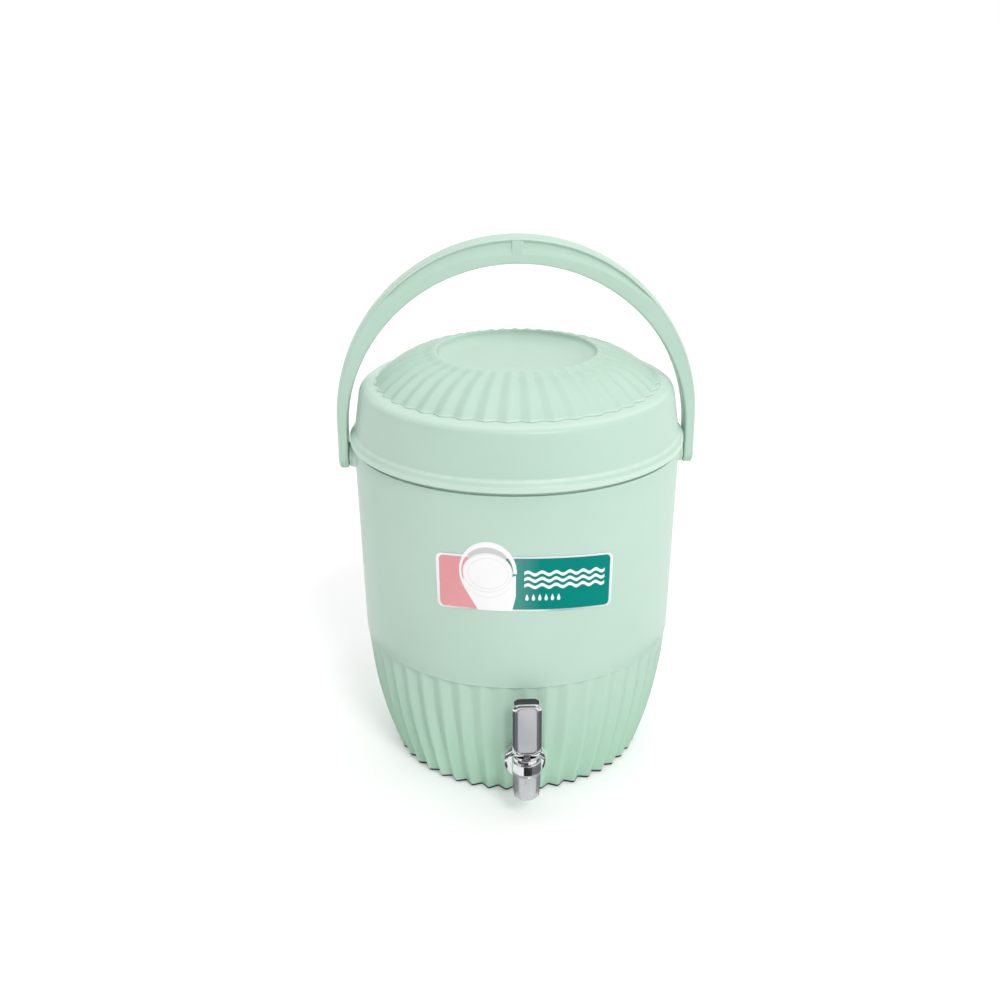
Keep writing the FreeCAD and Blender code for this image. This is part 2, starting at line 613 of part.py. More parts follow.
def tap_lever():
    """Upright paddle on a rounded foot that turns about the lever pin."""
    bend = LEVER_FOOT_R * (1 - math.sqrt(0.5))
    side = outline(
        side_plane, (LEVER_FRONT_Y, LEVER_TOP_Z), (LEVER_FRONT_Y, LEVER_FOOT_Z + LEVER_FOOT_R),
        (LEVER_FRONT_Y + bend, LEVER_FOOT_Z + bend, LEVER_FRONT_Y + LEVER_FOOT_R, LEVER_FOOT_Z),
        (LEVER_BACK_Y - LEVER_FOOT_R, LEVER_FOOT_Z),
        (LEVER_BACK_Y - bend, LEVER_FOOT_Z + bend, LEVER_BACK_Y, LEVER_FOOT_Z + LEVER_FOOT_R),
        (LEVER_BACK_Y, LEVER_TOP_Z),
    ).extrude(V(2 * LEVER_HALF_WIDTH, 0, 0))
    side.translate(V(-LEVER_HALF_WIDTH, 0, 0))
    paddle = rounded_plate(
        LEVER_HALF_WIDTH, LEVER_FOOT_Z, LEVER_TOP_Z, LEVER_CORNER_R, LEVER_FRONT_Y, LEVER_BACK_Y
    )
    hollow_back = rounded_plate(
        LEVER_HALF_WIDTH - 2.8, LEVER_PIN_Z + 7, LEVER_TOP_Z - 3, 4.0, LEVER_BACK_Y - 5.5, LEVER_BACK_Y
    )
    window = rounded_plate(
        LEVER_WINDOW_HALF_WIDTH, LEVER_WINDOW_LOW_Z, LEVER_WINDOW_HIGH_Z, 4.2,
        LEVER_FRONT_Y, LEVER_FRONT_Y + LEVER_WINDOW_DEPTH,
    )
    slot = outline(
        side_plane, (NOZZLE_Y + LEVER_SLOT, LEVER_PIN_Z), (NOZZLE_Y + LEVER_SLOT, LEVER_FOOT_Z - 1),
        (LEVER_FRONT_Y - 1, LEVER_FOOT_Z - 1), (LEVER_FRONT_Y - 1, LEVER_PIN_Z - 2.8),
        (NOZZLE_Y - 1.4, LEVER_PIN_Z + 2.4),
    ).extrude(V(2 * LEVER_SLOT, 0, 0))
    slot.translate(V(-LEVER_SLOT, 0, 0))
    eye_room = rod_x(STEM_R + 1.3, -LEVER_SLOT, LEVER_SLOT, y=NOZZLE_Y, z=LEVER_PIN_Z)
    hole = rod_x(LEVER_PIN_R + 0.06, -LEVER_HALF_WIDTH, LEVER_HALF_WIDTH, y=NOZZLE_Y, z=LEVER_PIN_Z)
    lever = paddle.common(side)
    for room in (hollow_back, window, slot, eye_room, hole):
        lever = lever.cut(room)
    return lever


def lever_pad():
    """Satin plate let into the front of the lever."""
    return rounded_plate(
        LEVER_WINDOW_HALF_WIDTH - PAD_GAP, LEVER_WINDOW_LOW_Z + PAD_GAP, LEVER_WINDOW_HIGH_Z - PAD_GAP,
        4.05, LEVER_FRONT_Y + 0.3, LEVER_FRONT_Y + LEVER_WINDOW_DEPTH,
    )


PIECES = {
    "outer_shell": outer_shell,
    "foam_plug": foam_plug,
    "body_insulation": body_insulation,
    "inner_liner": inner_liner,
    "label_plate": label_plate,
    "handle_pin_left": lambda: handle_pin(-1),
    "handle_pin_right": lambda: handle_pin(1),
    "carry_handle": carry_handle,
    "lid_band": lid_band,
    "lid_dome": lid_dome,
    "lid_insulation": lid_insulation,
    "lid_liner": lid_liner,
    "lid_seal": lid_seal,
    "tap_body": tap_body,
    "tap_flange": tap_flange,
    "tap_outer_washer": lambda: ring_y(SHANK_R + SHANK_GAP, OUTER_WASHER_R, FLANGE_BACK_Y, TAP_BOSS_Y),
    "tap_inner_washer": lambda: ring_y(SHANK_R + SHANK_GAP, INNER_WASHER_R, LINER_PAD_Y, NUT_Y),
    "tap_lock_nut": tap_lock_nut,
    "spout_sleeve": spout_sleeve,
    "tap_collar": tap_collar,
    "tap_bonnet": tap_bonnet,
    "valve_stem": valve_stem,
    "valve_cup": valve_cup,
    "valve_spring": valve_spring,
    "lever_pin": lever_pin,
    "tap_lever": tap_lever,
    "lever_pad": lever_pad,
}

os.makedirs("parts", exist_ok=True)
for name, build in PIECES.items():
    shape = build()
    if shape.ShapeType != "Solid" and len(shape.Solids) == 1:
        shape = shape.Solids[0]
    print(name, shape.ShapeType, len(shape.Solids), shape.isValid(), round(shape.Volume / 1000, 2), "cm3")
    shape.exportStep(os.path.join("parts", name + ".step"))
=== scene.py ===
import json
import math
import bmesh
import bpy
import numpy as np
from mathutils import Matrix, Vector


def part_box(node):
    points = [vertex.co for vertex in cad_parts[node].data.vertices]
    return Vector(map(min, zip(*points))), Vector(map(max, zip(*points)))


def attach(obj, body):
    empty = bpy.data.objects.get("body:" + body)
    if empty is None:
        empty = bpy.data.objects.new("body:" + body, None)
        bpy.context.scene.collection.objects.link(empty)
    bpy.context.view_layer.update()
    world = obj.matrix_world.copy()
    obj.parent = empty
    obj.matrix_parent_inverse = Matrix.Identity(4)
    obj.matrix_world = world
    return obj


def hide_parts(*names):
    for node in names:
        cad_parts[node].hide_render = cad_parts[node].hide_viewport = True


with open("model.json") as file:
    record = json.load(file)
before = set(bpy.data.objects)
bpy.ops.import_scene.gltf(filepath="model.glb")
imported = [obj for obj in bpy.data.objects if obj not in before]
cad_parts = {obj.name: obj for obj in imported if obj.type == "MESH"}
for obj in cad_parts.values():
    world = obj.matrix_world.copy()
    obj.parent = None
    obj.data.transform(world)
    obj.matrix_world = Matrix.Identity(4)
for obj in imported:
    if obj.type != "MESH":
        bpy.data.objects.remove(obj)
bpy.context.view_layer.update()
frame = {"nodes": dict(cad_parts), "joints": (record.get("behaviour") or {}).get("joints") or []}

# The looks of an insulated water jug. Outlines are in millimetres in the CAD frame: +Z up,
# the tap towards -Y. Meshes are scaled to metres where they are made.

MM = 0.001
TAP_SIDE = -math.pi / 2


def node_box(node):
    low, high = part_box(node)
    return np.array(low) / MM, np.array(high) / MM


def joint_point(name):
    joint = next(j for j in frame["joints"] if j["name"] == name)
    return np.array(joint["pos_m"]) / MM


# Places read from the frame
SHELL_TOP = node_box("outer_shell")[1][2]
BAND_LOW, BAND_HIGH = node_box("lid_band")
LIP_Z = BAND_LOW[2]
LIP_R = BAND_HIGH[0]
RIM_Z = BAND_HIGH[2]
DOME_LOW, DOME_HIGH = node_box("lid_dome")
DOME_R = DOME_HIGH[0]
DOME_TOP = DOME_HIGH[2]
HANDLE_HIGH = node_box("carry_handle")[1]
HANDLE_R = HANDLE_HIGH[0]
HANDLE_HALF_WIDTH = HANDLE_HIGH[1]
PIVOT_Z = joint_point("handle_swing")[2]
LABEL_TOP_Z = node_box("label_plate")[1][2]
DISC_LOW, DISC_HIGH = node_box("tap_flange")
DISC_R = DISC_HIGH[0]
DISC_Y, DISC_BACK_Y = DISC_LOW[1], DISC_HIGH[1]
TAP_Z = (DISC_LOW[2] + DISC_HIGH[2]) / 2
SHANK_END_Y = node_box("tap_body")[1][1]
NOZZLE_Y, LEVER_PIN_Z = joint_point("lever_tilt")[1:]
SPOUT_LOW, SPOUT_HIGH = node_box("spout_sleeve")
COLLAR_HIGH = node_box("tap_collar")[1]
BONNET_LOW, BONNET_HIGH = node_box("tap_bonnet")
LEVER_LOW, LEVER_HIGH = node_box("tap_lever")
PAD_LOW = node_box("lever_pad")[0]

# Driving sizes of the shell, the dome and the handle
FLUTES = 46
FLUTE_TOP = 113.5
FLUTE_DEPTH_BASE = 5.0
FLUTE_DEPTH_TOP = 2.2
BELLY_ARC_R = 380.3
BELLY_CENTRE = (-247.7, 132.0)
PLAIN_R_BOTTOM = 132.9
SHOULDER_R = 136.8
SHOULDER_Z = SHELL_TOP - 7.0
WALL = 2.4
BASE_Z = 5.0
FOOT_RING_R = 97.0
FILL_HOLE_R = 12.0
NECK_R = 130.6
FLUTE_COLUMNS = 14
FLUTE_SHARPNESS = 0.93
DOME_FLUTES = 41
DOME_FLUTE_TURN = math.radians(2.5)
DOME_FLUTE_SHARPNESS = 0.90
DOME_FLUTE_DEPTH = 3.3
DOME_FOOT_Z = 331.5
DOME_RISE = 23.4
DOME_CROWN = 24.5
DOME_RUN = 48.0
DOME_SEAT_R = 118.4
DOME_LEDGE_Z = 331.0
DOME_BORE_R = 112.0
DISH_FLOOR_Z = 349.0
RECESS_DEPTH = 2.0
BOSS_R = 17.6
BOSS_Y = -124.0
BOSS_BLEND = 2.2
HANDLE_PIN_R = 6.0
HANDLE_PIN_HEAD_R = 8.5
HANDLE_PIN_ROOT = 130.0
HANDLE_PIN_SEAT = 147.6
HANDLE_BOSS_FACE = 141.2
TAP_COLUMNS = 128
BARREL_COLUMNS = 96
PIN_COLUMNS = 96
BAND_COLUMNS = 384

# Painted highlights and painted shade on the plastic
CREVICE_SHADE_REACH = 2.5
EDGE_HIGHLIGHT_REACH = 2.0
BAND_HIGHLIGHT_SHARE = 0.48
CONTACT_SHADOW_HEIGHT = 2.9
CONTACT_SHADOW_SHADE = (0.020, 0.036, 0.030)
FOOT_SHADE_TINT = (0.89, 1.00, 0.92)
FOOT_SHADE_TOP = 118.0

# Label
LABEL_HALF_WIDTH = 72.2
LABEL_HALF_HEIGHT = 23.5
LABEL_TILT = 1.65
LABEL_DROP = 4.25
LABEL_BORDER_SIDE = 2.6
LABEL_BORDER_TOP = 1.6
LABEL_GAP = 0.05
COLOUR_SPLIT = -24.0
FADE_FROM = -9.0
FADE_TO = 11.0

# Floor and studio light
FLOOR_HALF = 30.0
FLOOR_DROP = 0.0002
SKY_DIM = 0.14
SKY_RIGHT = 0.71
SKY_BACK = 1.02
SKY_ABOVE = 1.21
KEY_POWER = 1.08
KEY_SOFTNESS = 16.0
KEY_FROM = (0.50, -1.38, 1.45)
FLOOR_GLOW = 0.245
CARD_SHADE = 0.01
CARD_RISE = 0.4

# Camera
LENS = 44.8
SHIFT_X = -0.0167
CAMERA_TURN = math.radians(-3.1)
CAMERA_TILT = math.radians(21.76)
CAMERA_REACH = 1.0
CAMERA_HEIGHT = 0.6216


# ---------------------------------------------------------------- mesh tools

def softened(points, closed=True, steps=4):
    """Outline with eased corners.

    A point is (a, b) or (a, b, ease), ease being how far from the point its curve starts.
    """
    out = []
    count = len(points)
    for i, point in enumerate(points):
        here = np.array(point[:2], float)
        at_end = not closed and i in (0, count - 1)
        if len(point) < 3 or at_end:
            out.append(here)
            continue
        before = np.array(points[i - 1][:2], float)
        after = np.array(points[(i + 1) % count][:2], float)
        start = here + (before - here) * min(point[2] / np.linalg.norm(before - here), 0.5)
        end = here + (after - here) * min(point[2] / np.linalg.norm(after - here), 0.5)
        for t in np.linspace(0, 1, steps + 1):
            out.append((1 - t) ** 2 * start + 2 * t * (1 - t) * here + t ** 2 * end)
    return np.array(out)


def bridge(rings, closed):
    """Faces between successive rings of vertex numbers; a ring of one number is a pole."""
    faces = []
    pairs = list(zip(rings, rings[1:]))
    if closed:
        pairs.append((rings[-1], rings[0]))
    for a, b in pairs:
        n = max(len(a), len(b))
        for k in range(n):
            m = (k + 1) % n
            if len(a) == 1 and len(b) > 1:
                faces.append((a[0], b[k], b[m]))
            elif len(b) == 1 and len(a) > 1:
                faces.append((a[k], a[m], b[0]))
            elif len(a) > 1:
                faces.append((a[k], a[m], b[m], b[k]))
    return faces


def turned(outline, columns, closed=True, swing=None, wave=None):
    """Surface of revolution about Z.

    Outline rows are (r, z); swing rows are how far (dr, dz) a wave moves them.
    """
    theta = TAP_SIDE + np.arange(columns) * 2 * math.pi / columns
    shape = wave(theta) if wave else np.zeros(columns)
    verts = []
    rings = []
    for i, (r, z) in enumerate(outline):
        first = len(verts)
        if r < 1e-6:
            verts.append((0.0, 0.0, z))
            rings.append([first])
            continue
        dr, dz = swing[i] if swing is not None else (0.0, 0.0)
        radius = r - dr * shape
        height = z - dz * shape
        verts += list(zip(radius * np.cos(theta), radius * np.sin(theta), height))
        rings.append(list(range(first, first + columns)))
    return np.array(verts, float), bridge(rings, closed)


def stacked(loops):
    """Closed body from a stack of loops with equal counts, capped at both ends."""
    count = len(loops[0])
    verts = np.concatenate(loops)
    rings = [list(range(i * count, (i + 1) * count)) for i in range(len(loops))]
    faces = bridge(rings, False)
    faces.append(tuple(rings[0]))
    faces.append(tuple(rings[-1]))
    return verts, faces


def facing_y(verts, z):
    """Turns a body made about Z so that its outline's heights are places along Y."""
    return np.stack([verts[:, 0], verts[:, 2], z - verts[:, 1]], axis=1)


def facing_x(verts, side, z):
    """Turns a body made about Z so that its outline's heights are places along X, on either side."""
    return np.stack([side * verts[:, 2], side * verts[:, 0], z + verts[:, 1]], axis=1)


def piece(name, verts, faces, material, body, nodes=(), sharp=38.0):
    """Shown object made from millimetre vertices, riding on a CAD body and standing for CAD nodes."""
    mesh = bpy.data.meshes.new(name)
    mesh.from_pydata([tuple(v) for v in np.asarray(verts, float) * MM], [], faces)
    work = bmesh.new()
    work.from_mesh(mesh)
    bmesh.ops.remove_doubles(work, verts=work.verts, dist=2e-6)
    bmesh.ops.dissolve_degenerate(work, edges=work.edges, dist=1e-7)
    bmesh.ops.recalc_face_normals(work, faces=work.faces)
    work.to_mesh(mesh)
    work.free()
    mesh.shade_smooth()
    mesh.set_sharp_from_angle(angle=math.radians(sharp))
    obj = bpy.data.objects.new(name, mesh)
    bpy.context.scene.collection.objects.link(obj)
    mesh.materials.append(material)
    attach(obj, body)
    if nodes:
        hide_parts(*nodes)
    return obj


# ---------------------------------------------------------------- materials

class Recipe:
    """Small helper that lays out one node material."""

    def __init__(self, name):
        self.material = bpy.data.materials.new(name)
        self.material.use_nodes = True
        self.nodes = self.material.node_tree.nodes
        self.links = self.material.node_tree.links
        self.shader = self.nodes["Principled BSDF"]
        self.place = self.add("ShaderNodeTexCoord").outputs["Object"]

    def add(self, kind, **values):
        node = self.nodes.new(kind)
        for key, value in values.items():
            if key in node.inputs:
                node.inputs[key].default_value = value
            else:
                setattr(node, key, value)
        return node

    def set(self, **values):
        for key, value in values.items():
            self.shader.inputs[key.replace("_", " ")].default_value = value

    def along(self, axis):
        """Place of a surface point on one axis, in metres."""
        node = self.add("ShaderNodeSeparateXYZ")
        self.links.new(self.place, node.inputs[0])
        return node.outputs[axis]

    def stretched(self, scale):
        mapping = self.add("ShaderNodeMapping")
        mapping.inputs["Scale"].default_value = scale
        self.links.new(self.place, mapping.inputs["Vector"])
        return mapping.outputs["Vector"]

    def noise(self, scale, detail=3.0, rough=0.5, stretch=None):
        node = self.add("ShaderNodeTexNoise", Scale=scale, Detail=detail, Roughness=rough)
        source = self.stretched(stretch) if stretch else self.place
        self.links.new(source, node.inputs["Vector"])
        return node.outputs["Fac"]

    def cells(self, scale):
        node = self.add("ShaderNodeTexVoronoi", Scale=scale)
        self.links.new(self.place, node.inputs["Vector"])
        return node.outputs["Distance"]

    def ramp(self, value, stops):
        node = self.add("ShaderNodeValToRGB")
        ramp = node.color_ramp
        while len(ramp.elements) < len(stops):
            ramp.elements.new(0.5)
        for element, (position, shade) in zip(ramp.elements, stops):
            element.position = position
            element.color = (*shade, 1.0)
        self.links.new(value, node.inputs["Fac"])
        return node.outputs["Color"]

    def spread(self, value, low, high, start=0.3, end=0.7):
        node = self.add("ShaderNodeMapRange")
        for key, number in (("From Min", start), ("From Max", end), ("To Min", low), ("To Max", high)):
            node.inputs[key].default_value = number
        self.links.new(value, node.inputs["Value"])
        return node.outputs["Result"]

    def blend(self, amount, a, b, mode="MIX"):
        """Mix of two colours; each may be a colour or a node's output."""
        node = self.add("ShaderNodeMix", data_type="RGBA", blend_type=mode)
        for socket, value in ((node.inputs[0], amount), (node.inputs[6], a), (node.inputs[7], b)):
            if isinstance(value, bpy.types.NodeSocket):
                self.links.new(value, socket)
            else:
                socket.default_value = value if isinstance(value, float) else (*value, 1.0)
        return node.outputs[2]

    def edge_highlight_mask(self, reach):
        """Mask for a painted highlight along raised edges, where little of the solid lies within reach (mm)
        behind the surface.
        """
        node = self.add("ShaderNodeAmbientOcclusion", Distance=reach * MM, samples=8, inside=True)
        return self.spread(node.outputs["AO"], 1.0, 0.0, 0.50, 0.97)

    def crevice_shade_mask(self, reach):
        """Mask for painted shade, white in narrow seams and inside corners, reach being how far (mm) a
        neighbour counts.
        """
        node = self.add("ShaderNodeAmbientOcclusion", Distance=reach * MM, samples=8)
        return self.spread(node.outputs["AO"], 1.0, 0.0, 0.12, 0.50)

    def bump(self, *layers):
        """Stacks bump layers, each a height, a strength and a distance in millimetres."""
        normal = None
        for height, strength, distance in layers:
            node = self.add("ShaderNodeBump", Strength=strength, Distance=distance * MM)
            self.links.new(height, node.inputs["Height"])
            if normal is not None:
                self.links.new(normal, node.inputs["Normal"])
            normal = node.outputs["Normal"]
        self.links.new(normal, self.shader.inputs["Normal"])

    def colour(self, output):
        self.links.new(output, self.shader.inputs["Base Color"])

    def roughness(self, output):
        self.links.new(output, self.shader.inputs["Roughness"])


def moulded_plastic(
    name, tint, deep, edge, rough=(0.34, 0.46), grain=1.0, crevice_shade=0.74, shaded_foot=False, highlight_heights=None
):
    """Satin moulded polypropylene: flow mottling, orange peel, painted highlights on raised
    edges and painted shade in seams.

    Shading the foot adds painted shade, a deeper tint low down, and a painted contact shadow, a
    dark line at the floor. The highlight heights (mm) are those below and above which a painted
    highlight makes the surface paler.
    """
    r = Recipe(name)

    def across_height(low, high, z, blur):
        return r.spread(r.along("Z"), low, high, (z - blur) * MM, (z + blur) * MM)

    mottled = r.ramp(r.noise(9.0, 4.0, 0.55), [(0.30, deep), (0.72, tint)])
    specks = r.spread(r.noise(900.0, 2.0, 0.6), 0.0, 0.05, 0.45, 0.80)
    grained = r.blend(specks, mottled, deep)
    # painted highlight: raised edges made paler, broken up by noise
    edge_highlight = r.blend(r.noise(130.0, 5.0, 0.6), (0, 0, 0), r.edge_highlight_mask(EDGE_HIGHLIGHT_REACH))
    highlighted = r.blend(edge_highlight, grained, edge)
    # painted highlight: the lip bead and rim painted paler below and above the given heights
    if highlight_heights:
        below = across_height(BAND_HIGHLIGHT_SHARE, 0.0, highlight_heights[0], 0.4)
        above = across_height(0.0, BAND_HIGHLIGHT_SHARE, highlight_heights[1], 0.8)
        highlighted = r.blend(above, r.blend(below, highlighted, edge), edge)
    # painted shade: seams and inside corners darkened towards the deep tint
    crevice_shaded = r.blend(r.crevice_shade_mask(CREVICE_SHADE_REACH), highlighted, [c * crevice_shade for c in deep])
    if shaded_foot:
        # painted shade: a deeper, darker green low down on the casing
        low = across_height(1.0, 0.0, 0.7 * FOOT_SHADE_TOP, 0.3 * FOOT_SHADE_TOP)
        crevice_shaded = r.blend(low, crevice_shaded, r.blend(1.0, crevice_shaded, FOOT_SHADE_TINT, "MULTIPLY"))
        # painted contact shadow: a dark line where the casing meets the floor
        foot = across_height(1.0, 0.0, 0.875 * CONTACT_SHADOW_HEIGHT, 0.125 * CONTACT_SHADOW_HEIGHT)
        crevice_shaded = r.blend(foot, crevice_shaded, CONTACT_SHADOW_SHADE)
    r.colour(crevice_shaded)
    scuffs = r.noise(60.0, 6.0, 0.7, stretch=(1.0, 1.0, 5.0))
    r.roughness(r.spread(scuffs, rough[0], rough[1], 0.35, 0.75))
    r.set(IOR=1.49, Subsurface_Weight=0.06, Subsurface_Scale=0.004)
    r.shader.inputs["Subsurface Radius"].default_value = (0.6, 1.0, 0.8)
    r.bump((r.noise(420.0, 3.0, 0.5), 0.10 * grain, 0.20), (r.noise(26.0, 2.0, 0.4), 0.10 * grain, 0.50))
    return r.material


def plated(name, tint, rough, grain_scale, grain_strength, scratch=0.05, metallic=1.0):
    """Plated metal with fine texture, faint hairlines and a little uneven polish."""
    r = Recipe(name)
    r.colour(r.ramp(r.noise(35.0, 4.0, 0.6), [(0.30, [c * 0.93 for c in tint]), (0.70, tint)]))
    r.roughness(r.spread(r.noise(70.0, 5.0, 0.65), rough[0], rough[1], 0.35, 0.70))
    r.set(Metallic=metallic)
    hairlines = r.noise(240.0, 3.0, 0.6, stretch=(1.0, 1.0, 14.0))
    r.bump((r.noise(grain_scale, 2.0, 0.6), grain_strength, 0.05), (hairlines, scratch, 0.03))
    return r.material


def printed_ink(name, tint, deep, left=None):
    """Printed film: mottled ink with a fine dot grain and hardly any gloss.

    Left is a paler tint that the ink fades in from, at the panel's left end.
    """
    r = Recipe(name)
    washed = r.ramp(r.noise(40.0, 3.0, 0.5), [(0.30, deep), (0.70, tint)])
    if left:
        fade = r.spread(r.along("X"), 1.0, 0.0, FADE_FROM * MM, FADE_TO * MM)
        washed = r.blend(fade, washed, left)
    dots = r.spread(r.cells(2200.0), 0.006, 0.0, 0.15, 0.55)
    r.colour(r.blend(dots, washed, (0.95, 0.95, 0.95)))
    r.roughness(r.spread(r.noise(90.0, 4.0, 0.6), 0.30, 0.42))
    r.set(Specular_IOR_Level=0.04)
    r.bump((r.noise(30.0, 3.0, 0.5), 0.12, 0.20))
    return r.material


def foil(name):
    """Silver foil with fine rolling lines."""
    r = Recipe(name)
    lines = r.noise(300.0, 3.0, 0.6, stretch=(1.0, 1.0, 12.0))
    r.colour(r.ramp(lines, [(0.30, (0.74, 0.75, 0.77)), (0.70, (0.93, 0.93, 0.94))]))
    r.roughness(r.spread(lines, 0.16, 0.30))
    r.set(Metallic=1.0)
    r.bump((lines, 0.06, 0.03), (r.noise(45.0, 2.0, 0.5), 0.10, 0.10))
    return r.material


def poured_foam(name):
    """Rigid foam: tiny closed cells, darker skin patches and a rough, pitted surface."""
    r = Recipe(name)
    cells = r.cells(650.0)
    skin = r.ramp(r.noise(14.0, 5.0, 0.6), [(0.32, (0.66, 0.53, 0.28)), (0.70, (0.86, 0.77, 0.52))])
    r.colour(r.blend(r.spread(cells, 0.35, 0.0, 0.05, 0.5), skin, (0.48, 0.36, 0.16)))
    r.roughness(r.spread(cells, 0.95, 0.75, 0.1, 0.6))
    r.bump((cells, 0.7, 0.60), (r.noise(40.0, 4.0, 0.6), 0.4, 1.20))
    return r.material


def silicone(name):
    """Soft milky silicone with a dusty bloom."""
    r = Recipe(name)
    r.colour(r.ramp(r.noise(55.0, 4.0, 0.6), [(0.30, (0.70, 0.71, 0.68)), (0.70, (0.84, 0.85, 0.82))]))
    r.roughness(r.spread(r.noise(160.0, 4.0, 0.6), 0.42, 0.62))
    r.set(Subsurface_Weight=0.25, Subsurface_Scale=0.003, IOR=1.41)
    r.bump((r.noise(500.0, 3.0, 0.5), 0.15, 0.10))
    return r.material


MINT_TINT = (0.515, 0.688, 0.588)
MINT_DEEP = (0.490, 0.670, 0.560)
# paler colour of the painted highlights on edges and bands
MINT_HIGHLIGHT = (0.680, 0.830, 0.745)
MINT = moulded_plastic("mint_plastic", MINT_TINT, MINT_DEEP, MINT_HIGHLIGHT)
# the body gets the darkest painted seam shade, painted shade low down and a painted contact shadow at the
# floor
MINT_BODY = moulded_plastic(
    "mint_plastic_body", MINT_TINT, MINT_DEEP, MINT_HIGHLIGHT, crevice_shade=0.42, shaded_foot=True
)
# the lid gets painted highlights on its lip bead and rim
MINT_LID = moulded_plastic(
    "mint_plastic_lid", MINT_TINT, MINT_DEEP, MINT_HIGHLIGHT, crevice_shade=0.80, highlight_heights=(LIP_Z + 4.6, RIM_Z - 2.6)
)
WHITE = moulded_plastic(
    "white_plastic", (0.84, 0.85, 0.83), (0.80, 0.81, 0.78), (0.92, 0.92, 0.91), (0.28, 0.42), 0.7
)
CHROME = plated("chrome", (0.80, 0.81, 0.83), (0.035, 0.085), 500.0, 0.02, 0.02)
SATIN_SILVER = plated(
    "satin_silver", (0.570, 0.585, 0.622), (0.32, 0.42), 1500.0, 0.22, 0.06, metallic=0.45
)
NOZZLE_SILVER = plated(
    "nozzle_silver", (0.595, 0.610, 0.630), (0.25, 0.33), 1500.0, 0.16, 0.05, metallic=0.70
)
STEEL = plated("spring_steel", (0.60, 0.60, 0.60), (0.20, 0.34), 900.0, 0.10, 0.12)
FOIL = foil("label_foil")
PINK = printed_ink("label_pink", (0.800, 0.360, 0.372), (0.775, 0.335, 0.350))
TEAL = printed_ink(
    "label_teal", (0.000, 0.240, 0.203), (0.000, 0.224, 0.190), left=(0.085, 0.300, 0.268)
)
PRINT_WHITE = printed_ink("label_white", (0.93, 0.93, 0.93), (0.90, 0.90, 0.90))
PRINT_PALE = printed_ink("label_pale", (0.84, 0.84, 0.84), (0.81, 0.81, 0.81))
PRINT_GREY = printed_ink("label_grey", (0.62, 0.62, 0.63), (0.58, 0.58, 0.59))
FOAM = poured_foam("insulating_foam")
SILICONE = silicone("silicone")


# ---------------------------------------------------------------- body and lid

def soft_triangle(angle, sharpness):
    """Triangle wave with rounded tips, 0 on a crest and 1 in a valley."""
    return 0.5 - np.arcsin(sharpness * np.cos(angle)) / (2 * math.asin(sharpness))


def belly_r(z):
    return BELLY_CENTRE[0] + math.sqrt(BELLY_ARC_R ** 2 - (z - BELLY_CENTRE[1]) ** 2)


def plain_r(z):
    slope = (SHOULDER_R - PLAIN_R_BOTTOM) / (SHOULDER_Z - FLUTE_TOP)
    return PLAIN_R_BOTTOM + slope * (z - FLUTE_TOP)


def flute_depth(z):
    return FLUTE_DEPTH_BASE + (FLUTE_DEPTH_TOP - FLUTE_DEPTH_BASE) * z / FLUTE_TOP


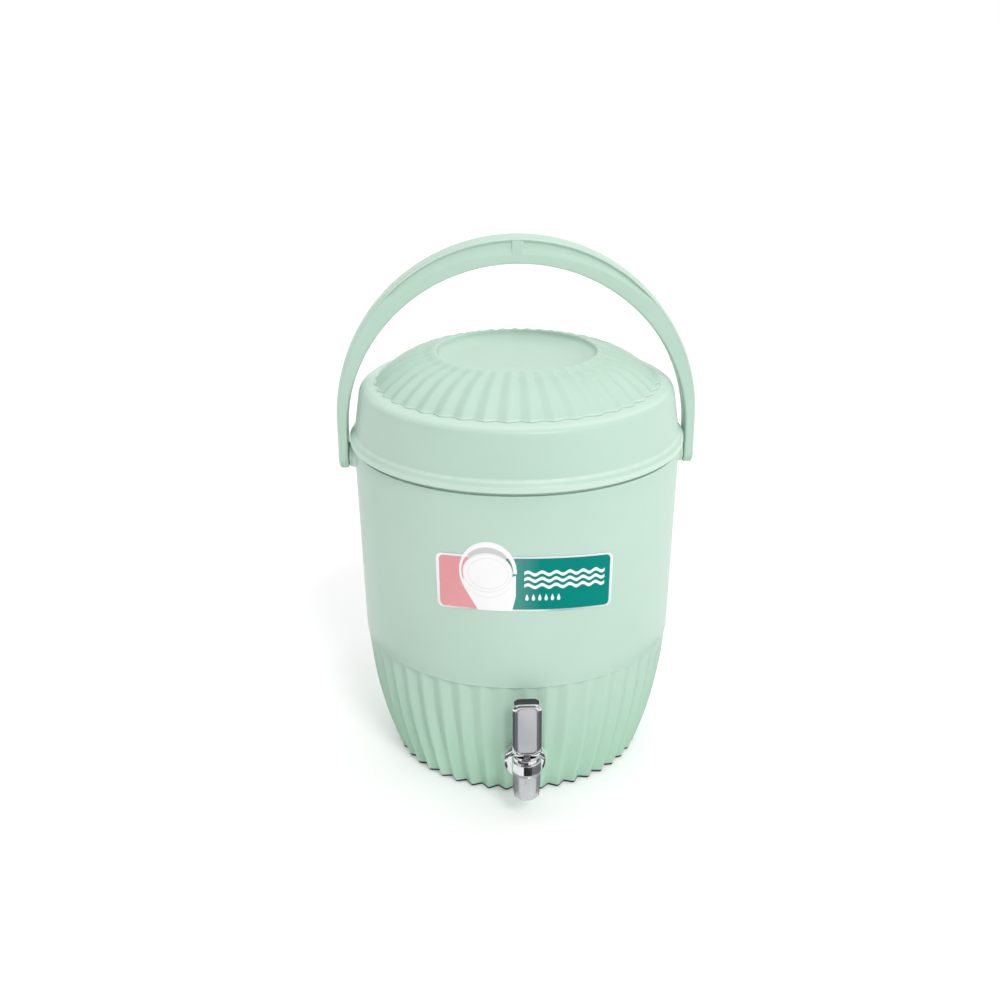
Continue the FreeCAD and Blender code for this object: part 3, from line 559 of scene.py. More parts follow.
def outer_shell():
    """Fluted and plain casing as one closed wall, pushed in behind the tap's boss."""
    rows = []
    swing = []

    def flute(z, r=None):
        rows.append((r if r is not None else belly_r(z), z))
        swing.append((flute_depth(z), 0.0))

    def plain(r, z):
        rows.append((r, z))
        swing.append((0.0, 0.0))

    for r, z in (
        (FILL_HOLE_R, BASE_Z), (60.0, BASE_Z), (FOOT_RING_R - 0.6, BASE_Z),
        (FOOT_RING_R, BASE_Z - 0.6), (FOOT_RING_R + 0.2, 0.6), (FOOT_RING_R + 0.8, 0.0),
    ):
        plain(r, z)
    flute(0.0, belly_r(0) - 1.3)
    flute(0.15, belly_r(0) - 0.5)
    flute(0.6, belly_r(0.6) - 0.1)
    behind_tap = np.arange(16, 66, 1.25)
    for z in np.concatenate([np.arange(1.4, 15, 3.0), behind_tap, np.arange(67, FLUTE_TOP - 1.2, 4.0)]):
        flute(z)
    flute(FLUTE_TOP - 0.8)
    flute(FLUTE_TOP - 0.25, belly_r(FLUTE_TOP) - 0.15)
    flute(FLUTE_TOP, belly_r(FLUTE_TOP) - 0.5)
    for r, z in ((PLAIN_R_BOTTOM - 0.5, FLUTE_TOP), (PLAIN_R_BOTTOM - 0.12, FLUTE_TOP + 0.12)):
        plain(r, z)
    groove_r = SHOULDER_R - 1.9
    groove_z = SHOULDER_Z - 2.5
    for z in np.linspace(FLUTE_TOP + 0.5, groove_z - 0.5, 14):
        plain(plain_r(z), z)
    for r, z in (
        (SHOULDER_R - 0.15, groove_z - 0.15), (SHOULDER_R - 0.6, groove_z),
        (groove_r + 0.4, groove_z + 0.1), (groove_r, groove_z + 0.4), (groove_r, SHOULDER_Z - 0.4),
        (groove_r - 0.4, SHOULDER_Z), (133.4, SHOULDER_Z), (133.0, SHOULDER_Z + 0.4),
        (133.0, SHELL_TOP - 0.5), (132.6, SHELL_TOP), (NECK_R + 0.4, SHELL_TOP),
        (NECK_R, SHELL_TOP - 0.4), (NECK_R, SHOULDER_Z - 6),
        (plain_r(SHOULDER_Z) - WALL - 0.8, SHOULDER_Z - 20), (plain_r(FLUTE_TOP + 8) - WALL, FLUTE_TOP + 8),
        (belly_r(FLUTE_TOP) - FLUTE_DEPTH_TOP - WALL - 0.6, FLUTE_TOP),
    ):
        plain(r, z)
    for z in (90.0, 65.0, 40.0, 20.0, BASE_Z + WALL):
        plain(belly_r(z) - flute_depth(z) - WALL, z)
    plain(FILL_HOLE_R, BASE_Z + WALL)
    verts, faces = turned(
        rows, FLUTES * FLUTE_COLUMNS, swing=swing,
        wave=lambda a: soft_triangle(FLUTES * (a - TAP_SIDE), FLUTE_SHARPNESS),
    )
    reach = np.hypot(verts[:, 0], verts[:, 2] - TAP_Z)
    pull = np.clip((BOSS_R + BOSS_BLEND - reach) / BOSS_BLEND, 0, 1)
    pull = pull * pull * (3 - 2 * pull)
    hidden_y = BOSS_Y + 2.5
    in_front = verts[:, 1] < hidden_y
    verts[in_front, 1] += (pull * (hidden_y - verts[:, 1]))[in_front]
    return piece("shell_wall", verts, faces, MINT_BODY, "jug", ["outer_shell"])


def tap_boss():
    rows = softened([
        (8.3, BOSS_Y + 12), (8.3, BOSS_Y, 0.4), (BOSS_R, BOSS_Y, 0.9), (BOSS_R + 0.4, BOSS_Y + 5),
        (BOSS_R + 0.8, BOSS_Y + 12),
    ])
    verts, faces = turned(rows, TAP_COLUMNS)
    return piece("tap_boss", facing_y(verts, TAP_Z), faces, MINT, "jug")


def handle_boss(name, side):
    """Short stub with a flared root that carries the handle's leg."""
    rows = softened([
        (HANDLE_PIN_R, HANDLE_PIN_ROOT), (HANDLE_PIN_R, HANDLE_BOSS_FACE, 0.3),
        (10.5, HANDLE_BOSS_FACE, 0.8), (10.6, 138.4, 1.2), (13.6, 134.6), (13.6, HANDLE_PIN_ROOT),
    ])
    verts, faces = turned(rows, PIN_COLUMNS)
    return piece(name, facing_x(verts, side, PIVOT_Z), faces, MINT, "jug")


def lid_band():
    z = LIP_Z
    rows = softened([
        (136.0, z, 0.4), (LIP_R, z, 0.7), (LIP_R, z + 4.4, 1.2), (136.1, z + 8.6, 0.8),
        (135.5, z + 10.8, 0.8), (131.2, RIM_Z - 8.2, 1.4), (129.9, RIM_Z - 4.3, 1.3),
        (125.6, RIM_Z - 0.9, 2.4), (119.4, RIM_Z, 0.9), (DOME_SEAT_R, RIM_Z - 0.8, 0.6),
        (DOME_SEAT_R, DOME_LEDGE_Z, 0.2), (113.7, DOME_LEDGE_Z), (DOME_BORE_R, DOME_LOW[2], 0.3),
        (DOME_BORE_R, 326.4), (124.5, 326.4, 1.5), (128.7, 321.5, 1.5), (132.8, 293.0, 0.5),
        (136.0, z + 7.2, 0.5),
    ], steps=6)
    verts, faces = turned(rows, BAND_COLUMNS)
    return piece("lid_band_wall", verts, faces, MINT_LID, "lid", ["lid_band"])


def dome_slope(s):
    """Point on the dome's fluted slope, s = 0 at its foot and 1 at its top."""
    return DOME_R - DOME_RUN * s, DOME_FOOT_Z + DOME_RISE * s + DOME_CROWN * s * (1 - s)


def lid_dome():
    """Dome with fading flutes, a soft roll and a shallow dish."""
    rows = []
    swing = []
    dish = softened([
        (0.0, DISH_FLOOR_Z), (51.0, DISH_FLOOR_Z, 6.0), (64.6, DISH_FLOOR_Z + 3.6, 3.0),
        (66.6, DOME_TOP - 0.1, 1.8), (71.6, DOME_TOP - 0.2, 2.4), (76.5, dome_slope(0.864)[1]),
    ], closed=False, steps=9)
    for r, z in dish[:-1]:
        share = float(np.clip((r - 66.4) / 9.0, 0, 1))
        rows.append((r, z))
        swing.append((0.0, 1.45 * share * (2 - share)))
    last_r = dish[-1][0]
    for s in np.linspace((DOME_R - last_r) / DOME_RUN, 0.0, 40):
        r, z = dome_slope(s)
        depth = DOME_FLUTE_DEPTH - 1.1 * s
        ahead, behind = dome_slope(s + 0.01), dome_slope(s - 0.01)
        along = np.array([ahead[0] - behind[0], ahead[1] - behind[1]])
        along /= np.linalg.norm(along)
        outward = np.array([along[1], -along[0]])
        lean = min(s / 0.25, 1.0)
        direction = (1 - lean) * np.array([1.0, 0.0]) + lean * outward * 0.62
        rows.append((r, z))
        swing.append(tuple(depth * direction))
    for r, z, dr in (
        (DOME_R - 0.1, 331.0, DOME_FLUTE_DEPTH), (DOME_R - 0.6, 330.6, 3.0), (DOME_R - 2.0, 330.3, 1.0),
    ):
        rows.append((r, z))
        swing.append((dr, 0.0))
    # the hidden underside
    for r, z in (
        (113.5, 330.2), (113.5, DOME_LOW[2]), (111.0, DOME_LOW[2]), (105.0, 335.0), (98.0, 340.6),
        (88.0, 346.6), (80.0, 349.6), (70.0, 352.0), (66.0, 350.8), (58.0, 346.6), (0.0, 346.6),
    ):
        rows.append((r, z))
        swing.append((0.0, 0.0))
    verts, faces = turned(
        rows, DOME_FLUTES * FLUTE_COLUMNS, closed=False, swing=swing,
        wave=lambda a: soft_triangle(DOME_FLUTES * (a - TAP_SIDE - DOME_FLUTE_TURN), DOME_FLUTE_SHARPNESS),
    )
    return piece("lid_dome_top", verts, faces, MINT, "lid", ["lid_dome"])


# ---------------------------------------------------------------- handle

def carry_handle():
    """Arched strap with a sunken crescent on each face, split by a rib, on two round-ended legs."""
    arch_z = 300.0
    inner_r, inner_drop = 141.5, 13.0
    crescent_r, low_r, low_drop = 147.5, 170.6, 34.1
    rib_half = 3.9
    edge = 1.9

    def ray(circle_r, drop, phi):
        """Distance from the arch's centre to a circle whose centre lies drop lower."""
        c = drop * math.cos(phi)
        return -c + math.sqrt(c * c - drop * drop + circle_r * circle_r)

    def section(outer, inner, top, bottom, depth):
        """Half section from the outer face's middle to the inner face's.

        A row is (distance from the arch's centre, inset from the front face).
        """
        full = HANDLE_HALF_WIDTH
        draft = 0.35 * depth
        gap = top - bottom
        lip = min(0.05, 0.06 * gap)
        ease = min(depth / 0.4, 1.0)
        bevel = 0.45
        return [
            (outer, full), (outer - 0.02, full * 0.5), (outer - 0.12, edge + 0.9),
            (outer - 0.3, edge * 0.9), (outer - 0.65, edge * 0.42), (outer - 1.15, edge * 0.14),
            (outer - edge, 0.0), (outer - edge - 0.4, 0.0), (top + bevel, 0.0),
            (top + 0.15, 0.04 * ease + 0.02 * depth), (top - lip, 0.12 * depth + 0.05 * ease),
            (top - max(draft * 0.8, 2 * lip), depth * 0.88),
            (top - max(draft * 1.3 + 0.02, 3 * lip), depth),
            (top - gap * 0.45, depth * 0.86), (top - gap * 0.66, depth * 0.52),
            (top - gap * 0.84, depth * 0.18), (bottom + lip, 0.02 * depth),
            (bottom - 0.15, 0.0), (bottom - bevel, 0.0), (bottom - 2.0, 0.0), (inner + edge + 0.6, 0.0),
            (inner + edge, 0.0), (inner + 1.15, edge * 0.14), (inner + 0.65, edge * 0.42),
            (inner + 0.3, edge * 0.9), (inner + 0.12, edge + 0.9), (inner + 0.02, full * 0.5),
            (inner, full),
        ]

    def ring(point, turn, shape):
        """One closed ring: point maps a distance to (x, z); turn is the leg end's angle about the pivot."""
        out = []
        for sign, rows in ((-1, shape), (1, shape[::-1][1:-1])):
            for distance, inset in rows:
                arm = HANDLE_HALF_WIDTH - inset
                x, z = point(distance)
                out.append((x, sign * arm * math.cos(turn), z - arm * math.sin(turn)))
        return out

    rib_angle = rib_half / 142.0
    steps = [0.0, rib_angle * 0.98, rib_angle, rib_angle + 0.0022, rib_angle + 0.0055, rib_angle + 0.0085]
    angles = np.array(steps + list(np.radians(np.arange(3.0, 90.1, 1.0))))
    angles = np.concatenate([-angles[::-1], angles[1:]])
    loops = []

    def leg(side, z, turn=0.0):
        above = max(z - arch_z + inner_drop, 0.0)
        inner = math.sqrt(inner_r ** 2 - above ** 2)
        shape = section(HANDLE_R, inner, crescent_r, crescent_r - 0.2, 0.0)
        return ring(lambda d: (side * d, z), turn, shape)

    end_turns = [math.radians(a) for a in (90, 82, 72, 60, 48, 36, 24, 12)]
    leg_heights = [PIVOT_Z, 274.0, 280.0, 286.0, 290.0, 295.0]
    loops += [leg(-1, PIVOT_Z, a) for a in end_turns]
    loops += [leg(-1, z) for z in leg_heights]
    for phi in angles:
        top = crescent_r
        bottom = ray(low_r, low_drop, phi)
        gap = top - bottom
        if gap < 0.2:
            bottom, gap = top - 0.2, 0.0
        away = np.clip((abs(phi) - rib_angle) / 0.0085, 0, 1)
        depth = min(RECESS_DEPTH, 0.6 * gap) * min((gap - 0.2) / 3.0, 1.0) * float(away) if gap else 0.0
        shape = section(HANDLE_R, ray(inner_r, inner_drop, phi), top, bottom, depth)
        loops.append(ring(lambda d: (d * math.sin(phi), arch_z + d * math.cos(phi)), 0.0, shape))
    loops += [leg(1, z) for z in leg_heights[::-1]]
    loops += [leg(1, PIVOT_Z, a) for a in end_turns[::-1]]
    verts, faces = stacked([np.array(loop) for loop in loops])
    open_ended = faces[:-2]
    return piece(
        "handle_strap", verts, open_ended, MINT, "handle", ["carry_handle"], sharp=32.0
    )


def handle_pin(name, side, node):
    """Pin with a softly domed head that stands a hair proud of the leg."""
    face = HANDLE_R + 0.35
    rows = softened([
        (0.0, face), (2.6, face - 0.02, 0.3), (3.2, face - 0.5, 0.4), (4.4, face - 0.5, 0.4),
        (5.0, face - 0.02, 0.4), (HANDLE_PIN_HEAD_R, face - 0.15, 0.7),
        (HANDLE_PIN_HEAD_R, HANDLE_PIN_SEAT), (HANDLE_PIN_R, HANDLE_PIN_SEAT),
        (HANDLE_PIN_R, HANDLE_PIN_ROOT + 0.4, 0.5), (0.0, HANDLE_PIN_ROOT),
    ], closed=False)
    verts, faces = turned(rows, PIN_COLUMNS, closed=False)
    return piece(name, facing_x(verts, side, PIVOT_Z), faces, MINT, "jug", [node])


# ---------------------------------------------------------------- label

LABEL_MID_Z = LABEL_TOP_Z - LABEL_HALF_HEIGHT - LABEL_TILT ** 2 / (4 * LABEL_DROP)
LABEL_R = plain_r(LABEL_MID_Z)


def onto_wall(flat, lift):
    """Wraps flat (across, up) points round the front of the casing, standing lift off the wall.

    The sticker is cut as an arc for the tapered wall, so it lies a little lower towards its ends.
    """
    out = []
    for across, up in flat:
        share = across / LABEL_HALF_WIDTH
        z = LABEL_MID_Z + up - LABEL_TILT * share - LABEL_DROP * share * share
        r = plain_r(z) + lift
        angle = TAP_SIDE + across / LABEL_R
        out.append((r * math.cos(angle), r * math.sin(angle), z))
    return np.array(out)


def printed(name, outline, low, high, material, nodes=()):
    """Flat outline cut into strips, wrapped on the wall and given a thickness from low to high."""
    work = bmesh.new()
    work.faces.new([work.verts.new((x, y, 0)) for x, y in outline])
    left = min(p[0] for p in outline)
    right = max(p[0] for p in outline)
    for cut in np.arange(left + 2.0, right, 2.0):
        parts = work.verts[:] + work.edges[:] + work.faces[:]
        bmesh.ops.bisect_plane(work, geom=parts, plane_co=(cut, 0, 0), plane_no=(1, 0, 0))
    bmesh.ops.triangulate(work, faces=[f for f in work.faces if len(f.verts) > 4])
    work.verts.index_update()
    flat = [(v.co.x, v.co.y) for v in work.verts]
    tops = [tuple(v.index for v in f.verts) for f in work.faces]
    rim = [tuple(v.index for v in e.verts) for e in work.edges if e.is_boundary]
    work.free()
    count = len(flat)
    verts = np.concatenate([onto_wall(flat, low), onto_wall(flat, high)])
    faces = [tuple(i + count for i in face) for face in tops]
    faces += [face[::-1] for face in tops]
    faces += [(a, b, b + count, a + count) for a, b in rim]
    return piece(name, verts, faces, material, "jug", nodes)


def rounded_box(left, right, low, high, corner, steps=6):
    out = []
    centres = (
        (right - corner, high - corner, 0), (left + corner, high - corner, 90),
        (left + corner, low + corner, 180), (right - corner, low + corner, 270),
    )
    for cx, cy, start in centres:
        for k in range(steps + 1):
            a = math.radians(start + 90 * k / steps)
            out.append((cx + corner * math.cos(a), cy + corner * math.sin(a)))
    return out


def ellipse(cx, cy, rx, ry, start=0.0, end=360.0, steps=48):
    whole = abs(end - start) >= 360
    angles = np.radians(np.linspace(start, end, steps, endpoint=not whole))
    return [(cx + rx * math.cos(a), cy + ry * math.sin(a)) for a in angles]


def crescent(outer, inner, start, end, steps=48):
    """Band between two ellipses, each (x, y, half width, half height), from one angle to another."""
    outside = ellipse(*outer, start, end, steps)
    inside = ellipse(*inner, start, end, steps)
    return outside + inside[::-1]


def droplet(cx, cy, size):
    out = []
    for k in range(28):
        a = 2 * math.pi * k / 28
        pinch = math.sin(a / 2) ** 1.4
        out.append((cx + size * 0.62 * math.sin(a) * pinch, cy + size * math.cos(a)))
    return out


def wave_band(left, right, y, height, thick, waves):
    across = np.linspace(left, right, 60)
    phase = (across - left) / (right - left) * waves * 2 * math.pi
    line = y + height * np.sin(phase)
    top = list(zip(across, line + thick / 2))
    bottom = list(zip(across, line - thick / 2))
    return bottom + top[::-1]


def label():
    """Foil sticker with two colour panels, a plain drawing of a jug, and marks in place of lettering."""
    half = LABEL_HALF_WIDTH
    up = LABEL_HALF_HEIGHT
    side = half - LABEL_BORDER_SIDE
    top = up - LABEL_BORDER_TOP
    foil_top, ink_top, art, line, mouth = 0.36, 0.41, 0.45, 0.475, 0.50
    base = rounded_box(-half, half, -up, up, 5.0)
    printed("label_foil_base", base, LABEL_GAP, foil_top, FOIL, ["label_plate"])
    printed("label_pink_panel", rounded_box(-side, COLOUR_SPLIT, -top, top, 4.0), foil_top, ink_top, PINK)
    printed("label_teal_panel", rounded_box(COLOUR_SPLIT, side, -top, top, 4.0), foil_top, ink_top, TEAL)
    # drawing of a jug seen from above, its handle standing higher than the label
    rim = (-30.0, 9.1, 19.6, 16.8)
    body = [(-48.9, -3.7), (-37.6, -up + 0.2), (-11.0, -up + 0.2), (-8.0, -11.0), (-7.9, 7.5)]
    body += ellipse(*rim, -10, 195, 40)
    printed("label_jug_body", body, ink_top, art, PRINT_WHITE)
    arch = (-29.8, 10.0, 22.6, 25.2)
    arch_inside = (-30.3, 10.0, 20.3, 20.7)
    printed("label_jug_handle", crescent(arch, arch_inside, -3, 214, 70), LABEL_GAP, art, PRINT_WHITE)
    printed("label_jug_far_side", crescent(arch_inside, rim, 42, 136), LABEL_GAP, art, PRINT_GREY)
    printed("label_jug_rim", ellipse(*rim), art, line, PRINT_PALE)
    printed("label_jug_rim_face", ellipse(-29.9, 8.9, 18.6, 15.8), art, line + 0.01, PRINT_WHITE)
    printed("label_jug_mouth_line", ellipse(-29.4, 8.4, 16.2, 13.4), line, mouth - 0.01, PRINT_PALE)
    printed("label_jug_mouth", ellipse(-29.3, 8.6, 15.5, 12.6), line, mouth, PRINT_WHITE)
    fold = crescent((-29.6, 9.0, 20.6, 21.2), (-29.6, 9.3, 20.2, 20.8), 222, 326)
    printed("label_jug_fold", fold, art, line, PRINT_PALE)
    # marks in place of the lettering
    for k, y in enumerate((9.3, 3.9, -1.5)):
        printed(f"label_wave_{k}", wave_band(-1.5, 64.5, y, 1.25, 2.7, 6), ink_top, art, PRINT_WHITE)
    for k in range(6):
        printed(f"label_drop_{k}", droplet(0.6 + 5.0 * k, -11.2, 2.9), ink_top, art, PRINT_WHITE)


# ---------------------------------------------------------------- tap

def tap_lathe(name, points, material, nodes, wave=None, swing=None):
    """Turned part of the tap about its upright axis."""
    rows = softened(points, steps=5)
    verts, faces = turned(rows, TAP_COLUMNS, wave=wave, swing=swing(rows) if swing else None)
    verts[:, 1] += NOZZLE_Y
    return piece(name, verts, faces, material, "jug", nodes)


def tap_shank():
    """Cover disc on the wall, and the barrel that carries the nozzle."""
    rows = softened([
        (8.1, DISC_BACK_Y), (8.1, DISC_Y - 0.5, 0.3), (9.6, DISC_Y - 0.5, 0.4), (10.6, DISC_Y, 0.8),
        (14.6, DISC_Y + 0.4, 1.6), (DISC_R - 0.2, DISC_Y + 1.7, 0.9), (DISC_R, DISC_BACK_Y, 0.3),
    ], steps=6)
    verts, faces = turned(rows, TAP_COLUMNS)
    piece("tap_cover_disc", facing_y(verts, TAP_Z), faces, CHROME, "jug", ["tap_flange"])
    rows = softened([
        (5.0, SHANK_END_Y), (8.0, SHANK_END_Y, 0.6), (8.0, DISC_Y - 0.6), (9.4, DISC_Y - 0.9, 0.4),
        (9.4, DISC_Y - 3.0, 0.6), (8.0, DISC_Y - 4.4, 1.0), (8.0, NOZZLE_Y + 9.0, 0.8),
        (8.9, NOZZLE_Y + 6.0), (5.0, NOZZLE_Y + 6.0),
    ])
    verts, faces = turned(rows, BARREL_COLUMNS)
    piece("tap_barrel", facing_y(verts, TAP_Z), faces, CHROME, "jug", ["tap_body"])


def tap_head():
    """Nozzle, collar and bonnet, stacked on the tap's upright axis."""
    low, high = SPOUT_LOW[2], SPOUT_HIGH[2]

    def nozzle_facets(rows):
        """Eight shallow flats that fade out above the nozzle's mouth."""
        fade = [float(np.clip((low + 7.0 - z) / 6.0, 0, 1)) for _, z in rows]
        return [(0.55 * share if r > 9.5 else 0.0, 0.0) for (r, _), share in zip(rows, fade)]

    sleeve = [(8.0, low, 0.3), (10.4, low, 0.5), (10.75, low + 0.7, 0.4)]
    sleeve += [(10.78 + 0.62 * t, low + 1.2 + (high - low - 4.0) * t) for t in np.linspace(0, 1, 9)]
    sleeve += [
        (11.45, high - 1.9, 0.4), (11.0, high - 1.5, 0.3), (11.0, high, 0.2), (9.2, high),
        (9.2, low + 6.0), (8.0, low + 6.0),
    ]
    tap_lathe(
        "nozzle_sleeve", sleeve, NOZZLE_SILVER, ["spout_sleeve"],
        wave=lambda a: 0.5 + 0.5 * np.cos(8 * a), swing=nozzle_facets,
    )
    # extra rows beside each small chamfer keep the long faces' reflections straight
    ring_r, ring_top = COLLAR_HIGH[0], COLLAR_HIGH[2]
    tap_lathe("collar_ring", [
        (9.4, high), (ring_r - 0.4, high, 0.08), (ring_r, high + 0.4, 0.12), (ring_r, high + 0.7),
        (ring_r, ring_top - 1.0), (ring_r, ring_top - 0.7, 0.12), (ring_r - 0.7, ring_top, 0.08),
        (9.4, ring_top),
    ], CHROME, ["tap_collar"])
    spigot, cap_top = BONNET_LOW[2], BONNET_HIGH[2]
    tap_lathe("bonnet_cap", [
        (2.5, spigot), (8.1, spigot), (8.1, ring_top), (10.7, ring_top, 0.08),
        (11.0, ring_top + 0.3, 0.1), (11.0, ring_top + 0.6), (11.0, cap_top - 1.5),
        (11.0, cap_top - 1.2, 0.15), (9.8, cap_top, 0.15), (2.5, cap_top, 0.2),
    ], CHROME, ["tap_bonnet"])


def lever_loop(y, half, low, high, low_corner, high_corner, steps=8):
    """Rounded rectangle in the plane at y, as (x, y, z) points."""
    out = []
    upper, lower = high - high_corner, low + low_corner
    centres = (
        (half - high_corner, upper, 0, high_corner), (-half + high_corner, upper, 90, high_corner),
        (-half + low_corner, lower, 180, low_corner), (half - low_corner, lower, 270, low_corner),
    )
    for cx, cz, start, corner in centres:
        for k in range(steps + 1):
            a = math.radians(start + 90 * k / steps)
            out.append((cx + corner * math.cos(a), y, cz + corner * math.sin(a)))
    return np.array(out)


def tap_lever():
    """Chrome paddle with a half-round rim about its window and a hollow back, on a rounded foot."""
    front, back = LEVER_LOW[1], LEVER_HIGH[1]
    foot_z = LEVER_LOW[2]
    foot_r = 3.0
    rim_r = 2.8
    half, top = LEVER_HIGH[0], LEVER_HIGH[2]

    def foot(y):
        off = foot_r - min(y - front, back - y, foot_r)
        return foot_z + foot_r - math.sqrt(foot_r ** 2 - off ** 2)

    hollow = [(-4.4, 4.4), (-4.0, 4.1), (-0.8, 3.9), (-0.25, 3.6), (0.0, 3.1)]
    loops = []
    for dy, i in hollow:
        loops.append(lever_loop(back + dy, half - i + 1.0, LEVER_PIN_Z + 4 + i, top - i + 1.0, 3.0, 3.0))
    outside = [(back + dy, i) for dy, i in ((0.0, 0.95), (-0.12, 0.5), (-0.42, 0.16), (-1.0, 0.0))]
    outside += [(y, 0.0) for y in np.linspace(back - 1.6, front + rim_r + 0.3, 8)]
    for turn in np.radians(np.linspace(0, 90, 9)):
        outside.append((front + rim_r * (1 - math.sin(turn)), rim_r * (1 - math.cos(turn))))
    for y, i in outside:
        loops.append(lever_loop(y, half - i, foot(y), top - 0.75 * i, 5.0 - i * 0.4, 6.4 - i * 0.6))
    window = [(0.0, 3.15), (0.12, 3.5), (0.35, 3.75), (0.7, 3.88), (1.5, 3.95), (1.9, 4.2)]
    for dy, i in window:
        low = foot_z + foot_r + (i - rim_r) * 1.2
        loops.append(lever_loop(front + dy, half - i, low, top - 0.75 * i, 4.0, 4.2))
    verts, faces = stacked(loops)
    lever = piece("lever_frame", verts, faces, CHROME, "lever", ["tap_lever"], sharp=50.0)
    cut_stem_slot(lever, front, LEVER_PIN_Z - foot_z)
    pad_front = PAD_LOW[1]
    pad_bottom, pad_top, pad_half = PAD_LOW[2] + 0.1, top - 3.1, 7.75
    pad = [(front + 2.3, 0.0), (front + 0.9, 0.0)]
    pad += [(pad_front + 0.28, 0.06), (pad_front + 0.1, 0.2), (pad_front, 0.5)]
    loops = []
    for y, i in pad:
        loops.append(lever_loop(y, pad_half - i, pad_bottom + i, pad_top - i, 3.9 - i * 0.5, 4.1 - i * 0.5))
    verts, faces = stacked(loops)
    piece("lever_face_pad", verts, faces, SATIN_SILVER, "lever", ["lever_pad"])


def cut_stem_slot(lever, front, foot_r):
    """Takes out of the lever's foot the room that the valve stem needs as the lever tilts."""
    half = 2.7
    under = LEVER_PIN_Z - foot_r - 1
    profile = [
        (NOZZLE_Y + half, LEVER_PIN_Z + 3.6), (NOZZLE_Y + half, under), (front - 1, under),
        (front - 1, LEVER_PIN_Z - 2.9), (NOZZLE_Y - 3.2, LEVER_PIN_Z + 1.2),
        (NOZZLE_Y - 2.6, LEVER_PIN_Z + 3.6),
    ]
    loops = [np.array([(x, y, z) for y, z in profile]) * MM for x in (-half, half)]
    verts, faces = stacked(loops)
    mesh = bpy.data.meshes.new("slot_cutter")
    mesh.from_pydata([tuple(v) for v in verts], [], faces)
    cutter = bpy.data.objects.new("slot_cutter", mesh)
    bpy.context.scene.collection.objects.link(cutter)
    cut = lever.modifiers.new("slot", "BOOLEAN")
    cut.operation = "DIFFERENCE"
    cut.solver = "EXACT"
    cut.object = cutter
    graph = bpy.context.evaluated_depsgraph_get()
    shaped = bpy.data.meshes.new_from_object(lever.evaluated_get(graph))
    lever.modifiers.clear()
    lever.data = shaped
    shaped.set_sharp_from_angle(angle=math.radians(50.0))
    bpy.data.objects.remove(cutter)


# ---------------------------------------------------------------- carried-over CAD nodes

CAD_FINISHES = {
    "foam_plug": WHITE, "body_insulation": FOAM, "inner_liner": WHITE, "lid_insulation": FOAM,
    "lid_liner": WHITE, "lid_seal": SILICONE, "tap_outer_washer": SILICONE,
    "tap_inner_washer": SILICONE, "tap_lock_nut": WHITE, "valve_spring": STEEL,
    "valve_stem": WHITE, "valve_cup": SILICONE, "lever_pin": STEEL,
}


def finish_cad_nodes():
    for node, material in CAD_FINISHES.items():
        for slot in frame["nodes"][node].material_slots:
            slot.material = material


# ---------------------------------------------------------------- stage, lights and camera

def stage():
    floor = bpy.data.meshes.new("floor")
    half = FLOOR_HALF
    corners = [(-half, -half, 0), (half, -half, 0), (half, half, 0), (-half, half, 0)]
    floor.from_pydata(corners, [], [(0, 1, 2, 3)])
    plane = bpy.data.objects.new("floor", floor)
    plane.location.z = -FLOOR_DROP
    bpy.context.scene.collection.objects.link(plane)
    r = Recipe("pale_floor")
    r.colour(r.ramp(r.noise(3.0, 2.0, 0.5), [(0.3, (0.78, 0.78, 0.78)), (0.7, (0.80, 0.80, 0.80))]))
    r.set(Roughness=0.85, Emission_Color=(1.0, 1.0, 1.0, 1.0), Emission_Strength=FLOOR_GLOW)
    floor.materials.append(r.material)


def aimed(direction):
    """Rotation that points an object's -Z along a direction."""
    return Vector(direction).to_track_quat("-Z", "Y").to_euler()


def card(name, verts, faces, shade):
    """Dark card that only shiny surfaces see, as in a product studio."""
    mesh = bpy.data.meshes.new(name)
    mesh.from_pydata(verts, [], faces)
    r = Recipe(name)
    r.set(Base_Color=(shade, shade, shade * 1.05, 1.0), Roughness=0.9)
    mesh.materials.append(r.material)
    obj = bpy.data.objects.new(name, mesh)
    bpy.context.scene.collection.objects.link(obj)
    obj.visible_camera = False
    obj.visible_diffuse = False
    obj.visible_shadow = False
    return obj


def standing_card(name, place, size, shade=CARD_SHADE, target=(0.0, -0.15, 0.08)):
    """Card held up in the studio, turned to face the tap; place, size and target are in metres."""
    w, h = size[0] / 2, size[1] / 2
    obj = card(name, [(-w, -h, 0), (w, -h, 0), (w, h, 0), (-w, h, 0)], [(0, 1, 2, 3)], shade)
    obj.location = place
    obj.rotation_euler = aimed(np.array(place) - np.array(target))


def floor_card(name, near, far, start, end, shade=CARD_SHADE):
    """Card just above the floor round the tap, from one radius (mm) and angle to another.

    An angle of 0 degrees is straight ahead of the tap.
    """
    verts = []
    for angle in np.radians(np.linspace(start, end, 24)):
        for reach in (near, far):
            place = (reach * math.sin(angle), NOZZLE_Y - reach * math.cos(angle), CARD_RISE)
            verts.append(tuple(np.array(place) * MM))
    faces = [(k, k + 1, k + 3, k + 2) for k in range(0, len(verts) - 2, 2)]
    card(name, verts, faces, shade)


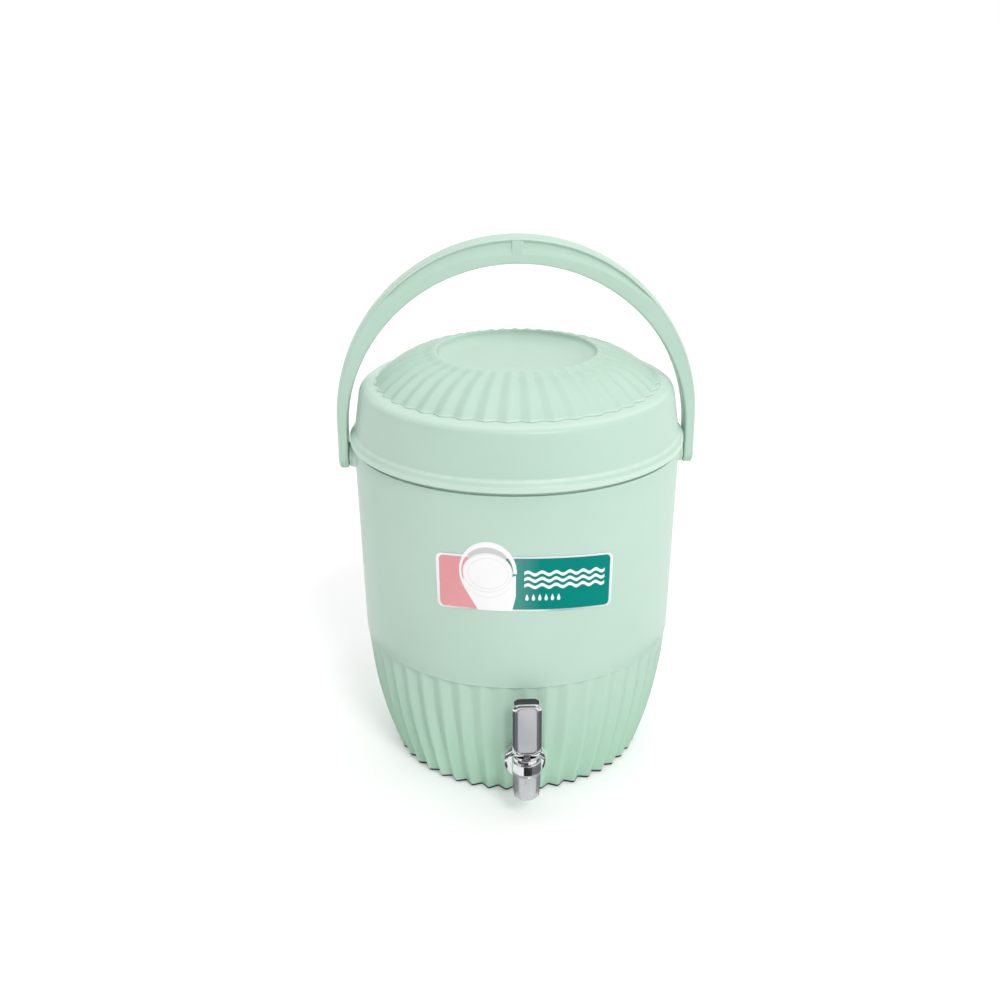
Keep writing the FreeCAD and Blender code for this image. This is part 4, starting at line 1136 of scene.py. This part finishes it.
def tap_cards():
    """What the chrome of the tap mirrors: dark stretches of floor, and cards round and above it."""
    floor_card("card_nozzle_left", 40, 76, -165, -66, 0.10)
    floor_card("card_nozzle_right", 40, 76, 76, 165, 0.08)
    floor_card("card_collar", 76, 95.5, -24, 36)
    floor_card("card_collar_side", 76, 95.5, 36, 150, 0.16)
    floor_card("card_bonnet", 95.5, 101.5, -80, 12)
    floor_card("card_bonnet_side", 95.5, 112, 84, 150, 0.12)
    floor_card("card_lever_right", 112, 330, 24, 155, 0.09)
    floor_card("card_lever_left", 112, 330, -155, -24, 0.09)
    floor_card("card_lever_front", 112, 215, -24, 24, 0.16)
    standing_card("card_low", (0.0, -1.3, 0.15), (0.50, 0.24))
    standing_card("card_right", (0.75, -0.85, 0.16), (0.22, 0.40))
    standing_card("card_overhead", (0.0, -0.62, 0.75), (0.26, 0.44), 0.03)
    standing_card("card_over_tap", (-0.03, -0.36, 0.26), (0.34, 0.46), 0.12)
    lever_top = tuple(np.array((0.0, LEVER_HIGH[1] + 5.0, LEVER_HIGH[2] + 8.0)) * MM)
    standing_card("card_behind_lever", lever_top, (0.034, 0.020), 0.07, target=(0.0, -0.35, 0.119))


def studio_world():
    """Studio that is white behind and above, bright to the right and dim to the front left."""
    world = bpy.data.worlds.new("studio")
    bpy.context.scene.world = world
    world.use_nodes = True
    nodes, links = world.node_tree.nodes, world.node_tree.links

    def step(source, low, high, dark, bright):
        node = nodes.new("ShaderNodeMapRange")
        node.interpolation_type = "SMOOTHSTEP"
        for key, value in (("From Min", low), ("From Max", high), ("To Min", dark), ("To Max", bright)):
            node.inputs[key].default_value = value
        links.new(source, node.inputs["Value"])
        return node.outputs["Result"]

    def largest(a, b):
        node = nodes.new("ShaderNodeMath")
        node.operation = "MAXIMUM"
        links.new(a, node.inputs[0])
        links.new(b, node.inputs[1])
        return node.outputs[0]

    split = nodes.new("ShaderNodeSeparateXYZ")
    links.new(nodes.new("ShaderNodeTexCoord").outputs["Generated"], split.inputs[0])
    x, y, z = split.outputs
    side = step(x, -0.80, 0.50, SKY_DIM, SKY_RIGHT)
    back = step(y, 0.30, 0.75, 0.0, SKY_BACK)
    above = step(z, 0.35, 0.90, 0.0, SKY_ABOVE)
    links.new(largest(largest(side, back), above), nodes["Background"].inputs["Strength"])
    nodes["Background"].inputs["Color"].default_value = (1.0, 1.0, 1.0, 1.0)


def lights():
    studio_world()
    sun = bpy.data.lights.new("key", "SUN")
    sun.energy = KEY_POWER
    sun.angle = math.radians(KEY_SOFTNESS)
    key = bpy.data.objects.new("key", sun)
    bpy.context.scene.collection.objects.link(key)
    key.rotation_euler = aimed(-np.array(KEY_FROM))
    tap_cards()


def camera():
    data = bpy.data.cameras.new("camera")
    data.sensor_width = 36.0
    data.lens = LENS
    data.shift_x = SHIFT_X
    view = bpy.data.objects.new("camera", data)
    bpy.context.scene.collection.objects.link(view)
    across, away = CAMERA_REACH * math.sin(CAMERA_TURN), CAMERA_REACH * math.cos(CAMERA_TURN)
    view.location = (across, -away, CAMERA_HEIGHT)
    view.rotation_euler = (math.pi / 2 - CAMERA_TILT, 0.0, CAMERA_TURN)
    bpy.context.scene.camera = view


outer_shell()
tap_boss()
handle_boss("handle_boss_left", -1)
handle_boss("handle_boss_right", 1)
lid_band()
lid_dome()
carry_handle()
handle_pin("pin_left", -1, "handle_pin_left")
handle_pin("pin_right", 1, "handle_pin_right")
label()
tap_shank()
tap_head()
tap_lever()
finish_cad_nodes()
stage()
lights()
camera()
bpy.context.scene.view_settings.view_transform = "Standard"
